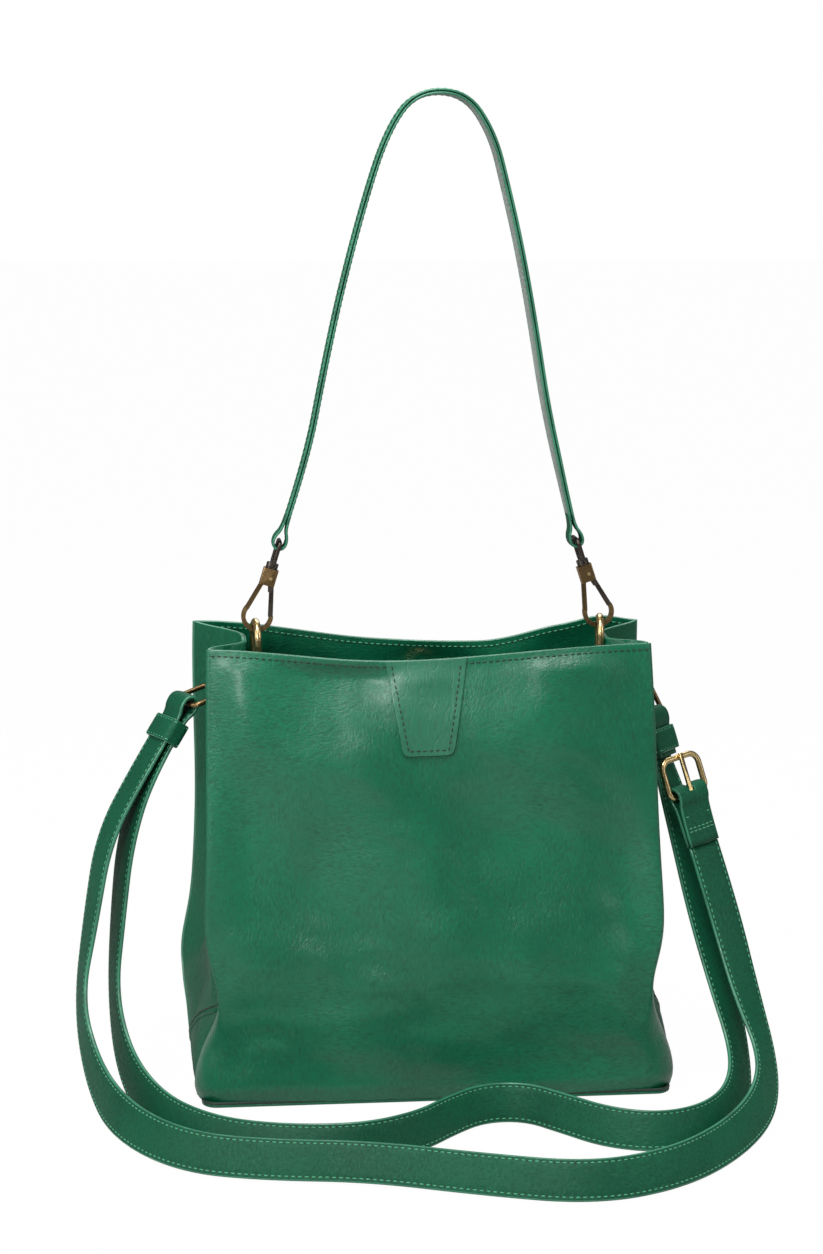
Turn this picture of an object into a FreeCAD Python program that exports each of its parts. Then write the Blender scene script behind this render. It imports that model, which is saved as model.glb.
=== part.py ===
import FreeCAD, Part
import math
import os
from FreeCAD import Rotation, Vector

import Sketcher

# Bucket bag: a soft open-topped leather bag standing on its base, with a short handle held by two
# swivel clips and a long strap doubled through the two side rings.
# Millimetres. +X is the bag's right, +Y its back, +Z up. The origin is the middle of the base's underside.

doc = FreeCAD.newDocument("bucket_bag")

# ---------------------------------------------------------------------------------------------------
# Driving sizes
# ---------------------------------------------------------------------------------------------------

SIZES = {
    # shell
    "base_width": (270, "width of the base, left to right"),
    "base_depth": (130, "depth of the base, front to back"),
    "bag_height": (260, "floor to rim"),
    "rim_width": (258, "width of the mouth at its corners"),
    "rim_depth": (76, "depth of the mouth at its corners"),
    "belly": (5, "how far the front and back swell past a straight line at half height"),
    "fold_depth": (20, "how far each side folds in at the rim"),
    "fold_flat": (20, "width of the flat at the bottom of the side fold"),
    "leather": (2.0, "thickness of the outer leather"),
    "lining": (1.0, "thickness of the lining"),
    "seam_gap": (0.2, "gap left between layers that are sewn together"),
    "side_wall": (2.4, "thickness of a side panel measured left to right"),
    "board": (2.5, "thickness of the stiffener in the base"),
    "board_margin": (4, "gap from the base board to the walls"),
    "facing_drop": (44, "depth of the leather facing inside the rim"),
    "facing": (1.2, "thickness of the rim facing"),
    # front tab
    "tab_top": (47, "width of the front tab at the rim"),
    "tab_bottom": (28, "width of the front tab at its lower end"),
    "tab_drop": (56, "length of the front tab"),
    "tab_leather": (1.4, "thickness of the front tab"),
    # magnetic closure
    "snap_width": (18, "diameter of each half of the magnetic closure"),
    "snap_height": (2.4, "thickness of each half of the closure"),
    "snap_drop": (30, "rim to the middle of the closure"),
    "snap_stud": (6, "diameter of the stud on the front half"),
    "snap_play": (0.4, "clearance round the stud"),
    # zipped divider
    "divider_drop": (38, "rim to the zipped divider's top"),
    "divider_bottom": (96, "height of the divider's lower edge"),
    "divider_gap": (9, "space inside the zipped divider"),
    "divider_wall": (1.2, "thickness of each divider panel"),
    "tape_thick": (0.8, "thickness of the zip tape"),
    "teeth_width": (4.6, "width of the closed row of teeth"),
    "teeth_height": (2.0, "height of the teeth"),
    "tooth_pitch": (4.0, "spacing of the modelled teeth"),
    "slider_length": (9, "length of the zip slider"),
    "slider_width": (8, "width of the zip slider"),
    "pull_length": (24, "length of the zip pull"),
    "zip_margin": (16, "zip end to the side wall"),
    # handle rings and their tabs
    "ring_wire": (4.2, "wire of the handle rings"),
    "ring_inner": (16, "inner width of a handle ring"),
    "ring_height": (24, "handle ring, bar centre to arch centre line top"),
    "ring_rise": (10.5, "rim to the centre line at the top of a handle ring"),
    "ring_inset": (100.5, "middle of the bag to the handle rings"),
    "ring_play": (1.5, "clearance between ring bar and its tab"),
    "ring_corner": (3, "radius of a handle ring's lower corners"),
    "ring_turn": (6, "how far the handle rings turn about the vertical, degrees"),
    "tab_strap": (1.8, "leather of the ring tabs"),
    "ring_tab_width": (14, "width of the handle ring tabs"),
    "ring_tab_drop": (22, "length of a ring tab below its ring"),
    "rivet_width": (7, "head of a rivet or stud"),
    "rivet_height": (1.6, "height of a rivet head"),
    # clips
    "clip_wire": (2.6, "width of the clip's bar"),
    "clip_thick": (3.2, "thickness of the clip"),
    "clip_round": (9.2, "radius of the rounded lower end of the clip"),
    "clip_block": (8.8, "width of the clip's block"),
    "clip_block_low": (28, "lower side of the block above the clip's foot"),
    "clip_block_high": (38, "top of the block above the clip's foot"),
    "clip_play": (1.15, "clearance between clip and handle ring"),
    "gate_pin": (2.0, "diameter of the gate's pin"),
    "gate_foot": (11.5, "lower end of the gate above the clip's foot"),
    "eye_wire": (2.4, "wire of the swivel eye"),
    "eye_inner": (17, "inner width of the swivel eye"),
    "eye_rise": (16.5, "clip block to the eye bar's centre line"),
    "eye_collar": (7, "diameter of the collar under the eye"),
    "swivel_play": (0.3, "gap between the collar and the block"),
    "lean_left": (17, "lean of the left clip, degrees"),
    "lean_right": (18, "lean of the right clip, degrees"),
    # handle
    "handle_width": (20, "width of the handle"),
    "handle_leather": (1.8, "thickness of each of the handle's two layers"),
    "loop_width": (14, "width of the handle's end loops"),
    "loop_play": (1.0, "clearance round the swivel eye in the handle's end"),
    # side rings
    "side_wire": (3.0, "wire of the side rings"),
    "side_inner": (25, "inner width of a side ring"),
    "side_reach": (23, "side ring, bar centre line to outer centre line"),
    "side_corner": (4, "corner radius of a side ring"),
    "side_stand": (10.5, "side wall to a side ring's bar"),
    "side_ring_drop": (28, "rim to a side ring's bar"),
    "side_play": (1.0, "clearance round a side ring's wire"),
    "side_patch": (1.8, "thickness of the patch behind a side ring"),
    "side_tab_width": (20, "width of a side ring tab"),
    "side_tab_drop": (30, "length of a side tab below its ring"),
    # strap
    "strap_width": (22, "width of the long strap"),
    "strap_thick": (3.0, "thickness of the long strap"),
    "fold_width": (20, "width of the long strap where it folds through a side ring"),
    "keeper_leather": (1.4, "thickness of the keeper loop"),
    "keeper_length": (14, "length of the keeper along the strap"),
    "keeper_play": (0.6, "clearance between the keeper and the two straps"),
    # buckle
    "buckle_wire": (3.6, "wire of the buckle frame"),
    "buckle_inner": (24, "inner width of the buckle frame"),
    "buckle_length": (22, "length of the buckle frame between bar centre lines"),
    "prong_width": (2.6, "width of the buckle's prong"),
}

sheet = doc.addObject("Spreadsheet::Sheet", "Sizes")
for row, (alias, (value, note)) in enumerate(SIZES.items(), start=1):
    sheet.set(f"A{row}", alias)
    sheet.set(f"B{row}", str(value))
    sheet.set(f"C{row}", note)
    sheet.setAlias(f"B{row}", alias)
doc.recompute()

SUB_PARTS = []


def size(alias):
    """The plain value of one driving size, for the few shapes made with Part's own functions."""
    return float(sheet.get(alias))


def cell(text):
    """Turn words such as base_width in a formula into references to the sheet's cells."""
    out = text
    for alias in sorted(SIZES, key=len, reverse=True):
        out = out.replace(f"[{alias}]", f"Sizes.{alias}")
    return f"({out})"


def value_of(text):
    """The number that a formula gives now."""
    result = sheet.evalExpression(cell(text))
    return float(getattr(result, "Value", result))



# ---------------------------------------------------------------------------------------------------
# Helpers: bodies, sketches and features bound to the sheet
# ---------------------------------------------------------------------------------------------------


def new_body(label):
    body = doc.addObject("PartDesign::Body", label)
    body.Label = label
    SUB_PARTS.append(body)
    return body


def group(label, pieces):
    """One sub-part made of several separate alike solids."""
    compound = doc.addObject("Part::Compound", label)
    compound.Label = label
    compound.Links = pieces
    for piece in pieces:
        SUB_PARTS.remove(piece)
    SUB_PARTS.append(compound)


def sketch_on(body, role, offset="0"):
    """An empty sketch on one of the body's own origin planes, moved along the plane's normal."""
    sketch = body.newObject("Sketcher::SketchObject", body.Label + "_sketch")
    plane = next(f for f in body.Origin.OriginFeatures if f.Role == role)
    sketch.AttachmentSupport = (plane, [""])
    sketch.MapMode = "FlatFace"
    sketch.setExpression("AttachmentOffset.Base.z", cell(offset))
    return sketch


def pin(sketch, geometry, position, place, axes="uv"):
    """Fix one point of a sketch at a place given by two formulas."""
    for axis, kind, text in (("u", "DistanceX", place[0]), ("v", "DistanceY", place[1])):
        if axis in axes:
            constraint = Sketcher.Constraint(kind, -1, 1, geometry, position, value_of(text))
            index = sketch.addConstraint(constraint)
            sketch.setExpression(f"Constraints[{index}]", cell(text))


def point_of(place):
    return Vector(value_of(place[0]), value_of(place[1]), 0)


def add_polygon(sketch, corners):
    first = sketch.GeometryCount
    count = len(corners)
    for i in range(count):
        line = Part.LineSegment(point_of(corners[i]), point_of(corners[(i + 1) % count]))
        sketch.addGeometry(line, False)
    for i in range(count):
        sketch.addConstraint(Sketcher.Constraint("Coincident", first + i, 2, first + (i + 1) % count, 1))
        pin(sketch, first + i, 1, corners[i])


def add_circle(sketch, centre, diameter):
    index = sketch.addGeometry(Part.Circle(point_of(centre), Vector(0, 0, 1), value_of(diameter) / 2))
    pin(sketch, index, 3, centre)
    constraint = sketch.addConstraint(Sketcher.Constraint("Diameter", index, value_of(diameter)))
    sketch.setExpression(f"Constraints[{constraint}]", cell(diameter))


def add_rounded_loop(sketch, stations):
    """A closed path of lines and arcs. A station is (place) or (place, "arc", centre) for an arc to the next."""
    count = len(stations)
    for i, station in enumerate(stations):
        here = point_of(station[0])
        there = point_of(stations[(i + 1) % count][0])
        if len(station) == 1:
            sketch.addGeometry(Part.LineSegment(here, there), False)
            continue
        centre = point_of(station[2])
        radius = (here - centre).Length
        middle = (here + there) * 0.5 - centre
        if middle.Length < 1e-6:
            middle = Vector(0, 1, 0)
        crown = centre + middle.normalize() * radius
        sketch.addGeometry(Part.Arc(here, crown, there), False)
    ends = []
    for i, station in enumerate(stations):
        turned = len(station) > 1 and not starts_at(sketch.Geometry[i], point_of(station[0]))
        ends.append((2, 1) if turned else (1, 2))
    for i, station in enumerate(stations):
        follower = (i + 1) % count
        sketch.addConstraint(Sketcher.Constraint("Coincident", i, ends[i][1], follower, ends[follower][0]))
        pin(sketch, i, ends[i][0], station[0])
        if len(station) > 1:
            pin(sketch, i, 3, station[2], axes="v")


def starts_at(curve, place):
    return (curve.StartPoint - place).Length < 1e-4


def feature_on(body, kind, sketch):
    feature = body.newObject("PartDesign::" + kind, body.Label + "_" + kind.lower())
    feature.Profile = sketch
    sketch.Visibility = False
    return feature


def pad(body, sketch, length, centred=False, backwards=False):
    feature = feature_on(body, "Pad", sketch)
    feature.setExpression("Length", cell(length))
    feature.SideType = "Symmetric" if centred else "One side"
    feature.Reversed = backwards
    return feature


def pocket(body, sketch, length=None, backwards=False):
    """Cut a sketch out of the body: right through both ways, or to a given depth."""
    feature = feature_on(body, "Pocket", sketch)
    if length is None:
        feature.SideType = "Symmetric"
        feature.Type = "ThroughAll"
    else:
        feature.setExpression("Length", cell(length))
        feature.Reversed = backwards
    return feature


def loft(body, sketches):
    feature = feature_on(body, "AdditiveLoft", sketches[0])
    feature.Sections = sketches[1:]
    return feature


def pipe(body, profile, path):
    feature = feature_on(body, "AdditivePipe", profile)
    feature.Spine = (path, [])
    path.Visibility = False
    return feature


def place(body, position=("0", "0", "0"), turn=None):
    """Put a body at formulas for x, y and z, with an optional turn."""
    if turn is not None:
        body.Placement = FreeCAD.Placement(Vector(0, 0, 0), turn)
    for axis, text in zip("xyz", position):
        body.setExpression(f".Placement.Base.{axis}", cell(text))


def rectangle(left, right, low, high):
    return [(left, low), (right, low), (right, high), (left, high)]


def about(axis, degrees):
    return Rotation(axis, degrees)


X_AXIS = Vector(1, 0, 0)
Y_AXIS = Vector(0, 1, 0)
Z_AXIS = Vector(0, 0, 1)

# ---------------------------------------------------------------------------------------------------
# Shell: the walls run between these outlines, from the base up to the rim
# ---------------------------------------------------------------------------------------------------

FLOOR_Z = "[leather]"
RIM_Z = "[bag_height]"
RING_TOP = "([bag_height] + [ring_rise])"
SIDE_RING_Z = "([bag_height] - [side_ring_drop])"
DIVIDER_TOP = "([bag_height] - [divider_drop])"


def rise(z):
    """0 at the foot of the walls, 1 at the rim."""
    return f"((({z}) - [leather]) / ([bag_height] - [leather]))"


def half_width(z):
    return f"([base_width] / 2 - {rise(z)} * ([base_width] - [rim_width]) / 2)"


def fold_x(z):
    """Outer face of a side wall's folded-in flat."""
    return f"({half_width(z)} - {rise(z)} * [fold_depth])"


def half_depth(z):
    swell = f"4 * [belly] * {rise(z)} * (1 - {rise(z)})"
    return f"([base_depth] / 2 - {rise(z)} * ([base_depth] - [rim_depth]) / 2 + {swell})"


def wall_levels(low, high):
    return [low, f"(({low}) + ({high})) / 2", high]


def wall_plate(label, side, low, high, inset, thickness, side_inset):
    """A curved plate along the front (side -1) or back (side +1) wall."""
    body = new_body(label)
    sketches = []
    for z in wall_levels(low, high):
        outer = f"{side} * ({half_depth(z)} - ({inset}))"
        inner = f"{side} * ({half_depth(z)} - ({inset}) - ({thickness}))"
        reach = f"({half_width(z)} - ({side_inset}))"
        sketch = sketch_on(body, "XY_Plane", z)
        add_polygon(sketch, rectangle(f"-{reach}", reach, outer, inner))
        sketches.append(sketch)
    loft(body, sketches)
    return body


def side_plate(label, side, low, high, inset, thickness, end_inset):
    """A folded side wall, or its lining: side -1 is the left."""
    body = new_body(label)
    sketches = []
    for z in wall_levels(low, high):
        deep = f"({half_depth(z)} - ({end_inset}))"
        flat = "[fold_flat] / 2"
        share = f"(({deep} - {flat}) / ({half_depth(z)} - [leather] - {flat}))"
        edge = f"({fold_x(z)} + {share} * ({half_width(z)} - {fold_x(z)}) - ({inset}))"
        fold = f"({fold_x(z)} - ({inset}))"
        outer = [(edge, f"-{deep}"), (fold, f"-{flat}"), (fold, flat), (edge, deep)]
        inner = [(f"{x} - ({thickness})", y) for x, y in reversed(outer)]
        sketch = sketch_on(body, "XY_Plane", z)
        add_polygon(sketch, [(f"{side} * ({x})", y) for x, y in outer + inner])
        sketches.append(sketch)
    loft(body, sketches)
    return body


def build_shell():
    base = new_body("base_panel")
    outline = sketch_on(base, "XY_Plane")
    add_polygon(outline, rectangle("-[base_width] / 2", "[base_width] / 2",
                                   "-[base_depth] / 2", "[base_depth] / 2"))
    pad(base, outline, "[leather]")

    wall_plate("front_panel", -1, FLOOR_Z, RIM_Z, "0", "[leather]", "0")
    wall_plate("back_panel", 1, FLOOR_Z, RIM_Z, "0", "[leather]", "0")
    side_plate("left_side_panel", -1, FLOOR_Z, RIM_Z, "0", "[side_wall]", "[leather]")
    side_plate("right_side_panel", 1, FLOOR_Z, RIM_Z, "0", "[side_wall]", "[leather]")

    board = new_body("base_board")
    outline = sketch_on(board, "XY_Plane", FLOOR_Z)
    long_edge = "([base_width] / 2 - [side_wall] - [seam_gap] - [lining] - [board_margin])"
    short_edge = "([base_depth] / 2 - [leather] - [seam_gap] - [lining] - [board_margin])"
    add_polygon(outline, rectangle(f"-{long_edge}", long_edge, f"-{short_edge}", short_edge))
    pad(board, outline, "[board]")

    facing_low = "[bag_height] - [facing_drop]"
    behind, beside = "[leather] + [seam_gap]", "[side_wall] + [seam_gap]"
    for name, side in (("front", -1), ("back", 1)):
        wall_plate(f"{name}_lining", side, FLOOR_Z, facing_low, behind, "[lining]", f"{beside} + [lining]")
        wall_plate(f"{name}_facing", side, facing_low, RIM_Z, behind, "[facing]", f"{beside} + [lining]")
    for name, side in (("left", -1), ("right", 1)):
        side_plate(f"{name}_lining", side, FLOOR_Z, RIM_Z, beside, "[lining]",
                   f"{behind} + [facing]")


def build_front_tab():
    """The tapered leather tab sewn to the middle of the front, from the rim down."""
    tab = new_body("front_tab")
    sketches = []
    low = "[bag_height] - [tab_drop]"
    for z, width in zip(wall_levels(low, RIM_Z), wall_levels("[tab_bottom]", "[tab_top]")):
        front = f"-({half_depth(z)} + [seam_gap])"
        sketch = sketch_on(tab, "XY_Plane", z)
        add_polygon(sketch, rectangle(f"-({width}) / 2", f"({width}) / 2",
                                      f"{front} - [tab_leather]", front))
        sketches.append(sketch)
    loft(tab, sketches)


def build_snap():
    """Both halves of the magnetic closure, on the facings."""
    height = "([bag_height] - [snap_drop])"
    wall = f"({half_depth(height)} - [leather] - [seam_gap] - [facing])"
    for name, side in (("front", -1), ("back", 1)):
        half = new_body(f"{name}_snap")
        face = sketch_on(half, "XZ_Plane")
        add_circle(face, ("0", "0"), "[snap_width]")
        pad(half, face, "[snap_height]", backwards=side < 0)
        if side < 0:
            stud = sketch_on(half, "XZ_Plane")
            add_circle(stud, ("0", "0"), "[snap_stud]")
            pad(half, stud, "[snap_height] * 1.8", backwards=True)
        else:
            seat = sketch_on(half, "XZ_Plane", "[snap_height]")
            add_circle(seat, ("0", "0"), "[snap_stud] + 2 * [snap_play]")
            pocket(half, seat, "[snap_height] / 2")
        place(half, ("0", f"{side} * ({wall} - 0.6)", height), about(X_AXIS, side * wall_slope(height)))


def wall_slope(z):
    """Lean of the front and back walls at a height, in degrees."""
    return math.degrees(math.atan(value_of(half_depth(f"{z} - 1")) - value_of(half_depth(z))))


def fold_slope():
    """Lean of the flat in a folded side wall, in degrees."""
    return math.degrees(math.atan(value_of(fold_x("0")) - value_of(fold_x("1"))))


# ---------------------------------------------------------------------------------------------------
# Zipped divider inside the bag
# ---------------------------------------------------------------------------------------------------

TAPE_TOP = f"({DIVIDER_TOP} + [tape_thick])"
TEETH_TOP = f"({DIVIDER_TOP} + [teeth_height])"
SLIDER_PLAY = 0.2
SLIDER_PLATE = 1.2
LUG_HEIGHT = 2.3


def lining_x(z):
    return f"({fold_x(z)} - [side_wall] - [seam_gap] - [lining])"


def build_divider():
    for name, offset in (("front", "[divider_gap] / 2"), ("back", "-[divider_gap] / 2 - [divider_wall]")):
        panel = new_body(f"divider_{name}")
        outline = sketch_on(panel, "XZ_Plane", offset)
        low, high = lining_x("[divider_bottom]"), lining_x(DIVIDER_TOP)
        add_polygon(outline, [(f"-{low}", "[divider_bottom]"), (low, "[divider_bottom]"),
                              (high, DIVIDER_TOP), (f"-{high}", DIVIDER_TOP)])
        pad(panel, outline, "[divider_wall]")
    floor = new_body("divider_floor")
    outline = sketch_on(floor, "XY_Plane", "[divider_bottom]")
    reach = lining_x("[divider_bottom] + [divider_wall]")
    add_polygon(outline, rectangle(f"-{reach}", reach, "-[divider_gap] / 2", "[divider_gap] / 2"))
    pad(floor, outline, "[divider_wall]")


def build_zip():
    reach = lining_x(TAPE_TOP)
    outer = "([divider_gap] / 2 + [divider_wall])"
    for name, side in (("front", -1), ("back", 1)):
        tape = new_body(f"zip_tape_{name}")
        outline = sketch_on(tape, "XY_Plane", DIVIDER_TOP)
        add_polygon(outline, rectangle(f"-{reach}", reach, f"{side} * {outer}", f"{side} * [teeth_width] / 2"))
        pad(tape, outline, "[tape_thick]")

    teeth = new_body("zip_teeth")
    first = sketch_on(teeth, "XY_Plane", DIVIDER_TOP)
    start = f"(-{reach} + [zip_margin])"
    add_polygon(first, rectangle(start, f"{start} + 0.6 * [tooth_pitch]", "-[teeth_width] / 2", "[teeth_width] / 2"))
    tooth = pad(teeth, first, "[teeth_height]")
    row = teeth.newObject("PartDesign::LinearPattern", "zip_teeth_row")
    row.Originals = [tooth]
    row.Direction = (first, ["H_Axis"])
    run = f"(2 * {reach} - 2 * [zip_margin])"
    row.setExpression("Length", cell(run))
    row.setExpression("Occurrences", cell(f"round({run} / [tooth_pitch])"))
    teeth.Tip = row

    stops = []
    for name, side in (("left", -1), ("right", 1)):
        stop = new_body(f"zip_stop_{name}")
        outline = sketch_on(stop, "XY_Plane", DIVIDER_TOP)
        near = f"{side} * ({reach} - [zip_margin] + [tooth_pitch])"
        far = f"{side} * ({reach} - [zip_margin] + 2 * [tooth_pitch])"
        add_polygon(outline, rectangle(near, far, "-[teeth_width] / 2", "[teeth_width] / 2"))
        pad(stop, outline, "1.5 * [teeth_height]")
        stops.append(stop)
    group("zip_stops", stops)

    slider = new_body("zip_slider")
    profile = sketch_on(slider, "YZ_Plane")
    inner, edge = f"([teeth_width] / 2 + {SLIDER_PLAY})", "[slider_width] / 2"
    roof, crown = f"({TEETH_TOP} + {SLIDER_PLAY})", f"({TEETH_TOP} + {SLIDER_PLAY} + {SLIDER_PLATE})"
    foot = f"({TAPE_TOP} + {SLIDER_PLAY})"
    add_polygon(profile, [(f"-{edge}", foot), (f"-{inner}", foot), (f"-{inner}", roof), (inner, roof),
                          (inner, foot), (edge, foot), (edge, crown), (f"-{edge}", crown)])
    pad(slider, profile, "[slider_length]", centred=True)
    for low, high in (("1.5", "2.7"), ("-2.7", "-1.5")):
        ear = sketch_on(slider, "XY_Plane", crown)
        add_polygon(ear, rectangle("-1.4", "1.4", low, high))
        pad(slider, ear, f"{LUG_HEIGHT} + 1.0")
    bar = sketch_on(slider, "XZ_Plane")
    add_circle(bar, ("0", f"{crown} + {LUG_HEIGHT}"), "1.4")
    pad(slider, bar, "5.2", centred=True)
    place(slider, (ZIP_REST, "0", "0"))

    pull = new_body("zip_pull")
    ring = sketch_on(pull, "XZ_Plane")
    add_circle(ring, ("0", "0"), "4.0")
    pad(pull, ring, "2.4", centred=True)
    tongue = sketch_on(pull, "XY_Plane", "-0.6")
    add_polygon(tongue, [("-1", "-1.2"), ("-5", "-1.2"), ("-8", "-2.8"), ("-[pull_length]", "-2.8"),
                         ("-[pull_length]", "2.8"), ("-8", "2.8"), ("-5", "1.2"), ("-1", "1.2")])
    pad(pull, tongue, "1.2")
    eye = sketch_on(pull, "XZ_Plane")
    add_circle(eye, ("0", "0"), "2.0")
    pocket(pull, eye)
    place(pull, (ZIP_REST, "0", f"{crown} + {LUG_HEIGHT}"), about(Z_AXIS, 180))


ZIP_REST = f"(-{lining_x(TAPE_TOP)} + [zip_margin] + [slider_length])"

# ---------------------------------------------------------------------------------------------------
# Rings: wire loops with a straight bar along Y at the origin, rising along Z
# ---------------------------------------------------------------------------------------------------


def bend_ring(label, half, reach, wire, near_corner, far_corner=None):
    """A ring of bent wire. Without a far corner the far end is a half circle."""
    body = new_body(label)
    path = sketch_on(body, "YZ_Plane")
    near = near_corner
    loop = [
        (("0", "0"),),
        ((f"{half} - {near}", "0"), "arc", (f"{half} - {near}", near)),
        ((half, near),),
    ]
    if far_corner is None:
        loop.append(((half, f"{reach} - {half}"), "arc", ("0", f"{reach} - {half}")))
        loop.append(((f"-{half}", f"{reach} - {half}"),))
    else:
        far = far_corner
        loop.append(((half, f"{reach} - {far}"), "arc", (f"{half} - {far}", f"{reach} - {far}")))
        loop.append(((f"{half} - {far}", reach),))
        loop.append(((f"-{half} + {far}", reach), "arc", (f"-{half} + {far}", f"{reach} - {far}")))
        loop.append(((f"-{half}", f"{reach} - {far}"),))
    loop.append(((f"-{half}", near), "arc", (f"-{half} + {near}", near)))
    loop.append(((f"-{half} + {near}", "0"),))
    add_rounded_loop(path, loop)
    profile = sketch_on(body, "XZ_Plane")
    add_circle(profile, ("0", "0"), wire)
    pipe(body, profile, path)
    return body


def round_ends(body, radius, wanted):
    """Fillet the edges of the body's newest feature that the test picks."""
    doc.recompute()
    feature = body.Tip
    names = [f"Edge{i}" for i, edge in enumerate(feature.Shape.Edges, start=1) if wanted(edge)]
    fillet = body.newObject("PartDesign::Fillet", body.Label + "_fillet")
    fillet.Base = (feature, names)
    fillet.Radius = radius
    return fillet


def dome(label, position, turn):
    """A low domed rivet or stud head standing on the local XY plane."""
    body = new_body(label)
    head = sketch_on(body, "XY_Plane")
    add_circle(head, ("0", "0"), "[rivet_width]")
    pad(body, head, "[rivet_height]")
    top = size("rivet_height")
    round_ends(body, 0.7 * top, lambda edge: edge.BoundBox.ZMin > top - 0.01)
    place(body, position, turn)
    return body


def build_handle_rings():
    half = "(([ring_inner] + [ring_wire]) / 2)"
    bar_z = f"({RING_TOP} - [ring_height])"
    rivets = []
    for name, side in (("left", -1), ("right", 1)):
        ring = bend_ring(f"{name}_handle_ring", half, "[ring_height]", "[ring_wire]", "[ring_corner]")
        place(ring, (f"{side} * [ring_inset]", "0", bar_z), about(Z_AXIS, -side * size("ring_turn")))

        tab = new_body(f"{name}_ring_tab")
        outer = "([ring_wire] + 2 * [ring_play] + 2 * [tab_strap])"
        loop = sketch_on(tab, "XZ_Plane")
        add_circle(loop, (f"{side} * [ring_inset]", bar_z), outer)
        pad(tab, loop, "[ring_tab_width]", centred=True)
        tail = sketch_on(tab, "XZ_Plane")
        neck_z = f"({bar_z} - {outer} / 2 + [tab_strap])"
        high_z = f"({bar_z} - 9)"
        low_z = f"({bar_z} - [ring_tab_drop])"
        two = "2 * [tab_strap]"
        corners = [
            ("[ring_inset] - [tab_strap]", neck_z),
            (f"[ring_inset] + [tab_strap]", f"{neck_z} + 1"),
            (lining_x(high_z), high_z),
            (lining_x(low_z), low_z),
            (f"{lining_x(low_z)} - {two}", low_z),
            (f"{lining_x(f'{high_z} - 4')} - {two}", f"{high_z} - 4"),
        ]
        add_polygon(tail, [(f"{side} * ({x})", z) for x, z in corners])
        pad(tab, tail, "[ring_tab_width]", centred=True)
        eye = sketch_on(tab, "XZ_Plane")
        add_circle(eye, (f"{side} * [ring_inset]", bar_z), "[ring_wire] + 2 * [ring_play]")
        pocket(tab, eye)

        rivet_z = f"({bar_z} - [ring_tab_drop] + [rivet_width] / 2 + 1.5)"
        rivet_x = f"{side} * ({lining_x(rivet_z)} - {two})"
        turn = about(Y_AXIS, -side * (90 + fold_slope()))
        rivets.append(dome(f"{name}_ring_rivet", (rivet_x, "0", rivet_z), turn))
    group("ring_rivets", rivets)


# ---------------------------------------------------------------------------------------------------
# Swivel clips, each drawn upright with its foot at the origin and then leaned onto its ring
# ---------------------------------------------------------------------------------------------------

PIVOT = ("1.2", "([clip_block_low] + 4.5)")
SLOT = 3.6
TONGUE = 2.0
SWIVEL_PIN = 2.6
SWIVEL_FIT = 0.05
CLIP_WALL = 1.0


def leg_x(z):
    """Outer edge of the clip's leg at a height."""
    return (f"([clip_block] / 2 + ([clip_block_low] - ({z}))"
            f" * ([clip_round] - [clip_block] / 2) / ([clip_block_low] - [clip_round]))")


def clip_placement(side):
    lean = size("lean_left") if side < 0 else -size("lean_right")
    turn = about(Y_AXIS, lean)
    wire_centre = size("clip_wire") + size("clip_play") + size("ring_wire") / 2
    ring = Vector(side * size("ring_inset"), 0, value_of(RING_TOP))
    return ring - turn.multVec(Vector(0, 0, wire_centre)), turn


def seat_clip_piece(body, side):
    base, turn = clip_placement(side)
    body.Placement = FreeCAD.Placement(base, turn)


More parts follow.
